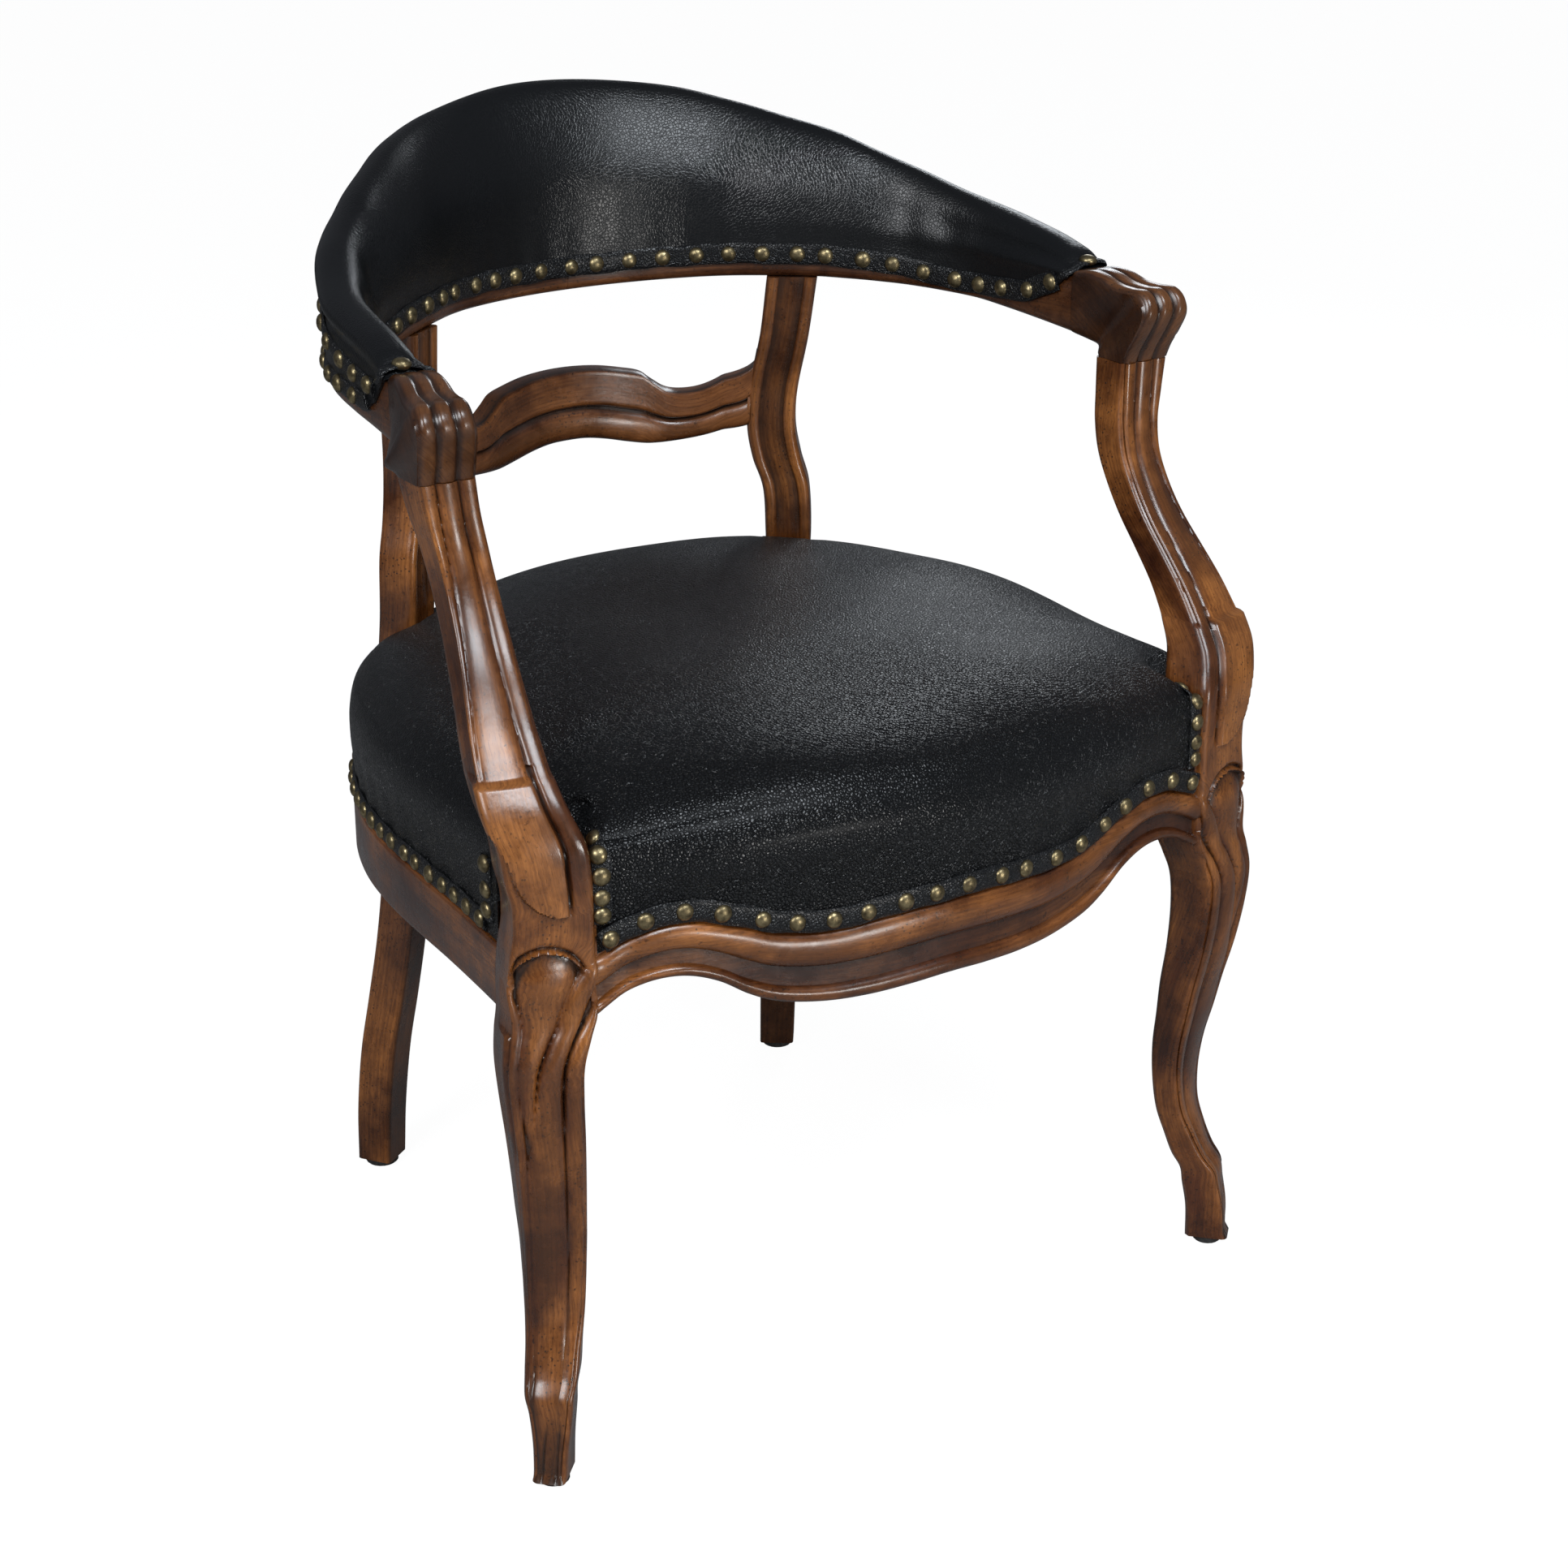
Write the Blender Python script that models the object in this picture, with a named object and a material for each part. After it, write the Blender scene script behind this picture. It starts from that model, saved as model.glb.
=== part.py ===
"""Desk armchair with a hooped back, carved walnut frame, leather covers and brass nails.

Metres. Z is up, the chair faces -Y, and the floor is z = 0.
Right-hand pieces (x > 0) are written first; left-hand pieces are their mirror images.
"""
import math

import bmesh
import bpy
import numpy as np
from mathutils import Matrix, Vector

for old in list(bpy.data.objects):
    bpy.data.objects.remove(old, do_unlink=True)

# Shared fits
FIT_GAP = 0.0003            # air left between two pieces that touch
LEATHER = 0.0015            # thickness of every leather piece
WEB_THICK = 0.0020          # thickness of the jute straps
PAD_EASE = 0.0028           # room between soft filling and its cover

# Floor and feet
GLIDE_HEIGHT = 0.005
GLIDE_RADIUS_FRONT = 0.0105
GLIDE_RADIUS_REAR = 0.0125

# Front leg and arm post in one carved piece: height, inner front corner x and y,
# turn of the front face outwards in degrees, width of that face, depth, relief of the middle
FRONT_LEG = [
    (0.0053, 0.2790, -0.2910, 44, 0.0220, 0.0310, 0.0000),
    (0.0300, 0.2760, -0.2910, 41, 0.0240, 0.0300, 0.0000),
    (0.0500, 0.2715, -0.2890, 39, 0.0290, 0.0290, 0.0020),
    (0.0620, 0.2685, -0.2870, 38, 0.0330, 0.0280, 0.0050),
    (0.0740, 0.2620, -0.2810, 37, 0.0350, 0.0260, 0.0020),
    (0.0900, 0.2560, -0.2755, 35, 0.0360, 0.0240, 0.0000),
    (0.1100, 0.2490, -0.2700, 31, 0.0385, 0.0225, 0.0000),
    (0.1350, 0.2450, -0.2675, 26, 0.0405, 0.0225, 0.0000),
    (0.1600, 0.2440, -0.2685, 22, 0.0415, 0.0245, 0.0000),
    (0.1850, 0.2450, -0.2720, 19, 0.0430, 0.0270, 0.0005),
    (0.2100, 0.2465, -0.2760, 18, 0.0445, 0.0300, 0.0010),
    (0.2400, 0.2490, -0.2815, 17, 0.0465, 0.0330, 0.0015),
    (0.2700, 0.2510, -0.2850, 17, 0.0490, 0.0360, 0.0020),
    (0.2950, 0.2505, -0.2860, 17, 0.0515, 0.0385, 0.0025),
    (0.3130, 0.2450, -0.2850, 17, 0.0550, 0.0400, 0.0030),
    (0.3270, 0.2400, -0.2835, 17, 0.0570, 0.0400, 0.0040),
    (0.3500, 0.2395, -0.2825, 16, 0.0540, 0.0400, 0.0050),
    (0.3700, 0.2395, -0.2820, 16, 0.0510, 0.0400, 0.0055),
    (0.3800, 0.2395, -0.2818, 16, 0.0500, 0.0400, 0.0075),
    (0.3860, 0.2395, -0.2816, 16, 0.0490, 0.0400, 0.0080),
    (0.3900, 0.2395, -0.2815, 16, 0.0460, 0.0400, 0.0010),
    (0.3980, 0.2395, -0.2813, 16, 0.0470, 0.0400, 0.0005),
    (0.4040, 0.2395, -0.2812, 16, 0.0500, 0.0400, 0.0050),
    (0.4200, 0.2400, -0.2810, 16, 0.0540, 0.0395, 0.0065),
    (0.4400, 0.2420, -0.2790, 16, 0.0545, 0.0380, 0.0060),
    (0.4600, 0.2480, -0.2700, 15, 0.0520, 0.0365, 0.0045),
    (0.4750, 0.2500, -0.2590, 13, 0.0490, 0.0355, 0.0035),
    (0.4820, 0.2505, -0.2530, 12, 0.0470, 0.0345, 0.0010),
    (0.5000, 0.2500, -0.2390, 11, 0.0435, 0.0330, 0.0015),
    (0.5200, 0.2480, -0.2220, 10, 0.0400, 0.0320, 0.0020),
    (0.5400, 0.2455, -0.2050, 9, 0.0375, 0.0310, 0.0020),
    (0.5600, 0.2440, -0.1910, 8, 0.0360, 0.0305, 0.0015),
    (0.5800, 0.2435, -0.1800, 7, 0.0355, 0.0305, 0.0010),
    (0.6000, 0.2445, -0.1735, 6, 0.0365, 0.0305, 0.0010),
    (0.6200, 0.2465, -0.1700, 4, 0.0385, 0.0310, 0.0010),
    (0.6420, 0.2480, -0.1680, 2, 0.0405, 0.0320, 0.0010),
]
BEAD = 0.0105               # width of the rounded bead along each edge of the front face
GROOVE = 0.0030             # depth of the groove beside each bead

# Arm, from the joint on the post over the knuckle to the back hoop:
# front/top edge y and z, back/under edge y and z, inner x, width
ARM_BASE_GAP = 0.0003
ARM = [
    (-0.1670, 0.6423, -0.1360, 0.6423, 0.2480, 0.0405),
    (-0.1710, 0.6530, -0.1340, 0.6435, 0.2490, 0.0405),
    (-0.1770, 0.6650, -0.1320, 0.6445, 0.2510, 0.0405),
    (-0.1815, 0.6770, -0.1300, 0.6455, 0.2530, 0.0400),
    (-0.1790, 0.6865, -0.1280, 0.6465, 0.2540, 0.0390),
    (-0.1715, 0.6925, -0.1255, 0.6475, 0.2535, 0.0375),
    (-0.1600, 0.6925, -0.1225, 0.6485, 0.2520, 0.0360),
    (-0.1480, 0.6935, -0.1190, 0.6495, 0.2505, 0.0350),
    (-0.1350, 0.6975, -0.1150, 0.6505, 0.2490, 0.0335),
    (-0.1220, 0.6985, -0.1115, 0.6513, 0.2478, 0.0318),
    (-0.1083, 0.6960, -0.1083, 0.6520, 0.2470, 0.0300),
]

# Back hoop: centre line in plan, under edge, rail height, top of the leather roll,
# outward lean of that top, height of the outer nail row
HOOP = [
    (0.2620, -0.1080, 0.6520, 0.0400, 0.7035, 0.0030, 0.6900),
    (0.2590, -0.0750, 0.6545, 0.0360, 0.7095, 0.0030, 0.6945),
    (0.2560, -0.0420, 0.6565, 0.0320, 0.7135, 0.0030, 0.6990),
    (0.2510, -0.0080, 0.6585, 0.0300, 0.7190, 0.0035, 0.7030),
    (0.2400, 0.0200, 0.6600, 0.0290, 0.7275, 0.0045, 0.7070),
    (0.2250, 0.0460, 0.6615, 0.0280, 0.7400, 0.0065, 0.7110),
    (0.2070, 0.0660, 0.6630, 0.0280, 0.7525, 0.0095, 0.7150),
    (0.1880, 0.0820, 0.6645, 0.0280, 0.7630, 0.0125, 0.7190),
    (0.1710, 0.0960, 0.6655, 0.0280, 0.7705, 0.0155, 0.7220),
    (0.1480, 0.1140, 0.6655, 0.0280, 0.7785, 0.0180, 0.7260),
    (0.1180, 0.1380, 0.6645, 0.0280, 0.7880, 0.0205, 0.7300),
    (0.0850, 0.1570, 0.6630, 0.0280, 0.7975, 0.0220, 0.7330),
    (0.0430, 0.1720, 0.6615, 0.0280, 0.8035, 0.0230, 0.7350),
    (0.0000, 0.1770, 0.6610, 0.0280, 0.8050, 0.0230, 0.7360),
]
HOOP_WIDTH = 0.028          # radial width of the wooden hoop
ROLL_HALF = 0.0240          # half thickness of the padded roll at its fullest
ROLL_HALF_ARM = 0.0150      # the same at the arm ends

# Rear leg and back stile in one piece: height, centre x and y, width, depth
REAR_LEG = [
    (0.0053, 0.1830, 0.1680, 0.0275, 0.0275),
    (0.0500, 0.1820, 0.1650, 0.0285, 0.0285),
    (0.1000, 0.1790, 0.1590, 0.0290, 0.0290),
    (0.1500, 0.1750, 0.1480, 0.0290, 0.0290),
    (0.2000, 0.1710, 0.1380, 0.0285, 0.0285),
    (0.2500, 0.1680, 0.1310, 0.0280, 0.0280),
    (0.3000, 0.1660, 0.1270, 0.0280, 0.0280),
    (0.3500, 0.1650, 0.1250, 0.0280, 0.0280),
    (0.4100, 0.1650, 0.1245, 0.0280, 0.0280),
    (0.4600, 0.1620, 0.1190, 0.0340, 0.0280),
    (0.5000, 0.1600, 0.1190, 0.0345, 0.0280),
    (0.5250, 0.1540, 0.1230, 0.0360, 0.0280),
    (0.5500, 0.1505, 0.1250, 0.0360, 0.0285),
    (0.5800, 0.1510, 0.1220, 0.0360, 0.0285),
    (0.6200, 0.1550, 0.1140, 0.0360, 0.0290),
    (0.6652, 0.1570, 0.1065, 0.0370, 0.0290),
]
REAR_TURN = -35             # degrees the rear legs face towards the middle

# Front rail: half width, bow in front of the corners, and heights across it
RAIL_END_X = 0.2377
RAIL_CORNER_Y = -0.2780
RAIL_BOW = 0.0440
RAIL_DEPTH = 0.028
SIDE_RAIL_VISIBLE = 0.363   # top of the bare wood on side and rear rails
RAIL_TOP = SIDE_RAIL_VISIBLE + 0.029  # top of the wood under the leather, all four rails
RAIL_UNDER = 0.319          # underside of the side and rear rails
RAIL_STATIONS = [           # x, lower edge, top of the visible moulding
    (0.000, 0.3095, 0.3610), (0.030, 0.3080, 0.3600), (0.060, 0.3070, 0.3580),
    (0.090, 0.3085, 0.3570), (0.120, 0.3140, 0.3610), (0.140, 0.3225, 0.3680),
    (0.160, 0.3350, 0.3740), (0.180, 0.3420, 0.3785), (0.200, 0.3425, 0.3775),
    (0.220, 0.3370, 0.3720), (0.2377, 0.3270, 0.3645),
]
REBATE = 0.0045             # step back of the wood where the leather lies

# Side rail, outer face in plan from the front leg round to the rear leg
SIDE_RAIL = [
    (0.2785, -0.2265), (0.2755, -0.1900), (0.2725, -0.1450), (0.2705, -0.1000),
    (0.2680, -0.0600), (0.2630, -0.0200), (0.2550, 0.0150), (0.2420, 0.0520),
    (0.2240, 0.0850), (0.2040, 0.1100), (0.1849, 0.1282),
]
REAR_RAIL_BOW = 0.172       # y of the outer face of the rear rail in the middle
SIDE_DEPTH = 0.026

# Seat upholstery
SEAT_CROWN = RAIL_TOP + 0.100  # top of the seat
SEAT_CENTRE = (0.0, -0.080)
HESSIAN_Z = RAIL_TOP + 0.0003
SPRINGS = [(-0.100, -0.190), (0.100, -0.190), (0.0, -0.075), (-0.100, 0.040), (0.100, 0.040)]
SPRING_END_RADIUS = 0.031
SPRING_WAIST = 0.022
SPRING_WIRE = 0.0018
SPRING_TURNS = 4
STRAP_WIDTH = 0.050
STRAP_END_INSET = 0.005        # strap ends stop short of the outer face of the side rails
STRAPS_LONG_X = [-0.100, 0.0, 0.100]
STRAPS_CROSS_Y = [-0.190, -0.075, 0.040]

# Brass nails
NAIL_RADIUS = 0.0056
NAIL_HEIGHT = 0.0030
BAND_WIDTH = 0.0160


# Material helpers
def make_material(name, colour, rough, metal=0.0):
    material = bpy.data.materials.new(name)
    material.use_nodes = True
    shader = material.node_tree.nodes["Principled BSDF"]
    shader.inputs["Base Color"].default_value = (*colour, 1.0)
    shader.inputs["Roughness"].default_value = rough
    shader.inputs["Metallic"].default_value = metal
    material.diffuse_color = (*colour, 1.0)
    return material


WALNUT = (0.20, 0.095, 0.035)
BLACK_LEATHER = (0.012, 0.013, 0.015)
JUTE = (0.42, 0.30, 0.17)
HESSIAN = (0.50, 0.38, 0.24)
HORSEHAIR = (0.14, 0.10, 0.07)
STEEL = (0.45, 0.46, 0.48)
RUBBER = (0.02, 0.02, 0.02)


# Mesh helpers
def add_mesh(name, verts, faces, colour, rough, metal=0.0):
    mesh = bpy.data.meshes.new(name)
    mesh.from_pydata([tuple(map(float, v)) for v in verts], [], faces)
    body = bmesh.new()
    body.from_mesh(mesh)
    bmesh.ops.recalc_face_normals(body, faces=body.faces)
    body.to_mesh(mesh)
    body.free()
    piece = bpy.data.objects.new(name, mesh)
    bpy.context.scene.collection.objects.link(piece)
    mesh.materials.append(make_material(name, colour, rough, metal))
    return piece


def loft(name, rings, colour, rough, metal=0.0, flip_from=None):
    """Skin a list of equal rings and cap both ends.

    flip_from splits every face into triangles; from that place in the ring on the other
    diagonal is used, so that a filling and the lining of its cover bend alike.
    """
    count = len(rings[0])
    verts = [p for ring in rings for p in ring]
    faces = []
    for i in range(len(rings) - 1):
        a = i * count
        b = a + count
        for k in range(count):
            n = (k + 1) % count
            if flip_from is None:
                faces.append((a + k, a + n, b + n, b + k))
            elif k < flip_from:
                faces += [(a + k, a + n, b + n), (a + k, b + n, b + k)]
            else:
                faces += [(a + k, a + n, b + k), (a + n, b + n, b + k)]
    faces.append(tuple(range(count)))
    last = (len(rings) - 1) * count
    faces.append(tuple(reversed(range(last, last + count))))
    return add_mesh(name, verts, faces, colour, rough, metal)


def mirror(rings):
    """The same rings on the other side of the chair."""
    return [[(-p[0], p[1], p[2]) for p in ring] for ring in rings]


def resample(rows, count):
    """Smooth curve through a list of rows, at evenly spread stations (Catmull-Rom)."""
    rows = np.array(rows, float)
    padded = np.vstack([2 * rows[0] - rows[1], rows, 2 * rows[-1] - rows[-2]])
    out = []
    for t in np.linspace(0.0, len(rows) - 1.0, count):
        k = min(int(t), len(rows) - 2)
        u = t - k
        p0, p1, p2, p3 = padded[k:k + 4]
        out.append(0.5 * (2 * p1 + (p2 - p0) * u + (2 * p0 - 5 * p1 + 4 * p2 - p3) * u * u
                          + (3 * p1 - p0 - 3 * p2 + p3) * u ** 3))
    return np.array(out)


def along(rows, x):
    """Value of every other column of a table at x in its first column."""
    rows = np.array(rows, float)
    return [float(np.interp(x, rows[:, 0], rows[:, k])) for k in range(1, rows.shape[1])]


# Front legs with the arm posts
def moulded_section(width, depth, relief):
    """Front face with a bead and a groove along each edge and a raised middle."""
    scale = min(1.0, width / 0.040)
    bead = BEAD * scale
    cut = GROOVE * scale
    mid = width - 2 * bead
    return [
        (0.0, bead * 0.45), (bead * 0.16, bead * 0.10), (bead * 0.50, 0.0), (bead * 0.84, bead * 0.12),
        (bead + 0.0008, cut), (bead + mid * 0.16, cut * 0.5 - relief * 0.6), (width * 0.5, -relief - 0.0008),
        (bead + mid * 0.84, cut * 0.5 - relief * 0.6), (width - bead - 0.0008, cut),
        (width - bead * 0.84, bead * 0.12), (width - bead * 0.50, 0.0),
        (width - bead * 0.16, bead * 0.10), (width, bead * 0.45),
        (width, depth - 0.003), (width - 0.003, depth), (0.003, depth), (0.0, depth - 0.003),
    ]


def leg_rings():
    rings = []
    for z, x, y, turn, width, depth, relief in FRONT_LEG:
        angle = math.radians(turn)
        ex = (math.cos(angle), math.sin(angle))
        ey = (-math.sin(angle), math.cos(angle))
        ring = []
        for u, v in moulded_section(width, depth, relief):
            ring.append((x + ex[0] * u + ey[0] * v, y + ex[1] * u + ey[1] * v, z))
        rings.append(ring)
    return rings


loft("front_leg_right", leg_rings(), WALNUT, 0.35)
loft("front_leg_left", mirror(leg_rings()), WALNUT, 0.35)


# Rear legs with the back stiles
def stile_section(width, depth, bead):
    """Plain square below the seat; a bead and groove on both edges above it."""
    half_w = width / 2
    half_d = depth / 2
    soft = 0.002
    return [
        (-half_w, -half_d + soft), (-half_w + soft, -half_d), (-half_w + 0.006, -half_d + 0.0005 * bead),
        (-half_w + 0.009, -half_d + 0.0030 * bead), (0.0, -half_d + 0.0022 * bead),
        (half_w - 0.009, -half_d + 0.0030 * bead), (half_w - 0.006, -half_d + 0.0005 * bead),
        (half_w - soft, -half_d), (half_w, -half_d + soft),
        (half_w, half_d - soft), (half_w - soft, half_d), (-half_w + soft, half_d), (-half_w, half_d - soft),
    ]


REAR_ANGLE = math.radians(REAR_TURN)
REAR_EX = (math.cos(REAR_ANGLE), math.sin(REAR_ANGLE))
REAR_EY = (-math.sin(REAR_ANGLE), math.cos(REAR_ANGLE))


def rear_rings():
    rings = []
    for z, x, y, width, depth in resample(REAR_LEG, 34):
        bead = min(1.0, max(0.0, (z - 0.42) / 0.03))
        ring = []
        for u, v in stile_section(width, depth, bead):
            ring.append((x + REAR_EX[0] * u + REAR_EY[0] * v, y + REAR_EX[1] * u + REAR_EY[1] * v, z))
        rings.append(ring)
    return rings


loft("rear_leg_right", rear_rings(), WALNUT, 0.35)
loft("rear_leg_left", mirror(rear_rings()), WALNUT, 0.35)


# Feet glides
def disc(name, x, y, radius, bottom, top, colour, rough, sides=20):
    rings = []
    for z, r in ((bottom, radius - 0.001), (bottom + 0.001, radius), (top, radius)):
        rings.append([(x + r * math.cos(2 * math.pi * k / sides),
                       y + r * math.sin(2 * math.pi * k / sides), z) for k in range(sides)])
    return loft(name, rings, colour, rough)


def front_foot_centre():
    z, x, y, turn, width, depth, relief = FRONT_LEG[0]
    angle = math.radians(turn)
    across = width / 2
    into = depth / 2
    return (x + math.cos(angle) * across - math.sin(angle) * into,
            y + math.sin(angle) * across + math.cos(angle) * into)


front_foot = front_foot_centre()
rear_foot = REAR_LEG[0][1:3]
for side, sign in (("right", 1), ("left", -1)):
    disc("glide_front_" + side, sign * front_foot[0], front_foot[1], GLIDE_RADIUS_FRONT,
         0.0, GLIDE_HEIGHT, RUBBER, 0.7)
    disc("glide_rear_" + side, sign * rear_foot[0], rear_foot[1], GLIDE_RADIUS_REAR,
         0.0, GLIDE_HEIGHT, RUBBER, 0.7)


# Front rail
def rail_front_y(x):
    return RAIL_CORNER_Y - RAIL_BOW * (1 - (abs(x) / 0.235) ** 1.5) if abs(x) < 0.235 else RAIL_CORNER_Y


LEG_TURN = math.radians(16)


def rail_inward(x):
    """Direction from the front face into the wood; at the ends it follows the leg's side."""
    share = (abs(x) / RAIL_END_X) ** 4
    lean = math.copysign(math.sin(LEG_TURN), x) * share
    return (-lean, math.sqrt(1 - lean * lean))


front_rail = []
for x in np.linspace(-RAIL_END_X, RAIL_END_X, 45):
    low, top = along(RAIL_STATIONS, abs(x))
    dx, dy = rail_inward(x)
    y = rail_front_y(x)
    span = top - low
    under = max(low + 0.004, RAIL_UNDER + WEB_THICK + 2 * FIT_GAP)
    section = [
        (RAIL_DEPTH, under), (0.012, under), (0.012, low + 0.004), (0.004, low), (0.0015, low + 0.002),
        (0.0005, low + 0.006), (0.0025, low + 0.010), (0.0050, low + 0.013),
        (0.0040, low + span * 0.42), (0.0010, low + span * 0.60), (0.0, low + span * 0.80),
        (0.0010, top - 0.002), (0.0030, top), (REBATE, top + 0.0006), (REBATE, RAIL_TOP), (RAIL_DEPTH, RAIL_TOP),
    ]
    front_rail.append([(x + dx * d, y + dy * d, z) for d, z in section])
loft("front_rail", front_rail, WALNUT, 0.35)


# Side and rear rails
def plan_path(points, count):
    path = resample(points, count)
    tangent = np.gradient(path, axis=0)
    tangent /= np.linalg.norm(tangent, axis=1)[:, None]
    return path, tangent


SIDE_RINGS = 22
side_path, side_tangent = plan_path(SIDE_RAIL, SIDE_RINGS)
LEG_BACK = (-math.cos(LEG_TURN), -math.sin(LEG_TURN))
REAR_IN = (-REAR_EY[0], -REAR_EY[1])


def side_rings():
    rings = []
    for k in range(SIDE_RINGS):
        inward = np.array([-side_tangent[k][1], side_tangent[k][0]])
        front_share = max(0.0, 1 - k / 3.0)
        rear_share = max(0.0, 1 - (SIDE_RINGS - 1 - k) / 3.0)
        inward = inward * (1 - front_share - rear_share) + np.array(LEG_BACK) * front_share
        inward = inward + np.array(REAR_IN) * rear_share
        inward /= np.linalg.norm(inward)
        x, y = side_path[k]
        section = [
            (SIDE_DEPTH, RAIL_UNDER), (0.002, RAIL_UNDER), (0.0, RAIL_UNDER + 0.002),
            (0.0, SIDE_RAIL_VISIBLE), (REBATE, SIDE_RAIL_VISIBLE), (REBATE, RAIL_TOP), (SIDE_DEPTH, RAIL_TOP),
        ]
        rings.append([(x + inward[0] * d, y + inward[1] * d, z) for d, z in section])
    return rings


loft("side_rail_right", side_rings(), WALNUT, 0.35)
loft("side_rail_left", mirror(side_rings()), WALNUT, 0.35)

REAR_CENTRE = (0.1650, 0.1250)
REAR_HALF = 0.0140
REAR_RAIL_X = REAR_CENTRE[0] - REAR_EX[0] * (REAR_HALF + FIT_GAP) + REAR_EY[0] * (REAR_HALF - 0.001)
REAR_RAIL_Y = REAR_CENTRE[1] - REAR_EX[1] * (REAR_HALF + FIT_GAP) + REAR_EY[1] * (REAR_HALF - 0.001)
REAR_RAIL_DEPTH = 0.024
rear_rail = []
for t in np.linspace(-1, 1, 17):
    x = REAR_RAIL_X * t
    y = REAR_RAIL_BOW - (REAR_RAIL_BOW - REAR_RAIL_Y) * t * t
    inward = np.array([-REAR_EY[0] * t, -1 + (1 - REAR_EY[1]) * abs(t)])
    inward /= np.linalg.norm(inward)
    under = RAIL_UNDER + WEB_THICK + 2 * FIT_GAP
    section = [
        (REAR_RAIL_DEPTH, under), (0.002, under), (0.0, under + 0.002), (0.0, SIDE_RAIL_VISIBLE),
        (REBATE, SIDE_RAIL_VISIBLE), (REBATE, RAIL_TOP), (REAR_RAIL_DEPTH, RAIL_TOP),
    ]
    rear_rail.append([(x + inward[0] * d, y + inward[1] * d, z) for d, z in section])
loft("rear_rail", rear_rail, WALNUT, 0.35)

# Corner blocks glued inside the rail corners
BLOCK_TOP = RAIL_TOP - 0.004
BLOCK_UNDER = RAIL_UNDER + 0.026
BLOCK_GAP = 0.0008          # glue line between a block and what it touches
BLOCK_AIM_Y = -0.080


def block(name, corners, sign):
    rings = [[(sign * x, y, z) for x, y in corners] for z in (BLOCK_UNDER, BLOCK_TOP)]
    loft(name, rings, (0.45, 0.30, 0.17), 0.7)


def nudged(points):
    """Contact points on rails and leg, each moved a little towards the seat centre."""
    out = []
    for x, y in points:
        reach = math.hypot(x, y - BLOCK_AIM_Y)
        out.append((x - x / reach * BLOCK_GAP, y - (y - BLOCK_AIM_Y) / reach * BLOCK_GAP))
    return out


side_inner = [ring[0][:2] for ring in side_rings()]
front_inner = [ring[0][:2] for ring in front_rail]
rear_inner = [ring[0][:2] for ring in rear_rail]
leg_inner_corner = (0.2395 - math.sin(LEG_TURN) * 0.040, -0.2825 + math.cos(LEG_TURN) * 0.040)
stile_corner_inner = [REAR_CENTRE[k] - (REAR_EX[k] + REAR_EY[k]) * REAR_HALF for k in (0, 1)]
stile_corner_outer = [REAR_CENTRE[k] + (REAR_EX[k] - REAR_EY[k]) * REAR_HALF for k in (0, 1)]
FRONT_BLOCK = nudged([front_inner[38], front_inner[43], leg_inner_corner, side_inner[1], side_inner[3]])
REAR_BLOCK = nudged([rear_inner[13], stile_corner_inner, stile_corner_outer, side_inner[-4]])
for side, sign in (("right", 1), ("left", -1)):
    block("corner_block_front_" + side, FRONT_BLOCK, sign)
    block("corner_block_rear_" + side, REAR_BLOCK, sign)


# Arms with the carved hand holds
ARM_STATIONS = 20


def arm_rings():
    rings = []
    for fy, fz, by, bz, x, width in resample(ARM, ARM_STATIONS):
        depth = math.hypot(by - fy, bz - fz)
        vy = (by - fy) / depth
        vz = (bz - fz) / depth
        rings.append([(x + u, fy + vy * v, fz + vz * v) for u, v in moulded_section(width, depth, 0.0012)])
    return rings


loft("arm_right", arm_rings(), WALNUT, 0.3)
loft("arm_left", mirror(arm_rings()), WALNUT, 0.3)


# Hoop stations for the crest rail and the padded back
HOOP_STATIONS = 18
BARE_STRIP = 0.0090         # bare wood left under the inside leather
BARE_STRIP_OUT = 0.0100     # and under the outside leather
half_hoop = resample(HOOP, HOOP_STATIONS)


def hoop_frames(start_gap):
    """Right half of the hoop from the arm to the middle, each with its outward direction."""
    rows = half_hoop.copy()
    grad = np.gradient(rows[:, :2], axis=0)
    grad /= np.linalg.norm(grad, axis=1)[:, None]
    frames = []
    for k, row in enumerate(rows):
        tx, ty = grad[k]
        out = np.array([ty, -tx])
        if k == 0:
            out = np.array([1.0, 0.0])
        if k == len(rows) - 1:
            out = np.array([0.0, 1.0])
        share = max(0.0, 1 - k / 4.0)
        frames.append((row + np.array([0, start_gap * share, 0, 0, 0, 0, 0]), out))
    return frames


def bare_height(k):
    """The inside leather rises to the top of the arm over the last stations."""
    return BARE_STRIP + 0.031 * max(0.0, 1 - k / 4.0) ** 1.6


def crest_section(row):
    under = row[2]
    top = row[2] + row[3]
    half = HOOP_WIDTH / 2
    return [
        (-half, under + 0.003), (-half + 0.003, under), (half - 0.003, under), (half, under + 0.003),
        (half, top - 0.001), (half - 0.001, top), (-half + 0.001, top), (-half, top - 0.001),
    ]


crest = []
for row, out in hoop_frames(2 * FIT_GAP):
    crest.append([(row[0] + out[0] * o, row[1] + out[1] * o, z) for o, z in crest_section(row)])
crest[-1] = [(FIT_GAP / 2, p[1], p[2]) for p in crest[-1]]
loft("crest_rail_right", crest, WALNUT, 0.35)
loft("crest_rail_left", mirror(crest), WALNUT, 0.35)


# Padded back: roll, inside cover over the top, outside cover, all following the hoop
ROLL_DROP = [0, 0, 0, 0, 0.35, 0.80, 1.0, 0.80, 0.35, 0, 0, 0]


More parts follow.
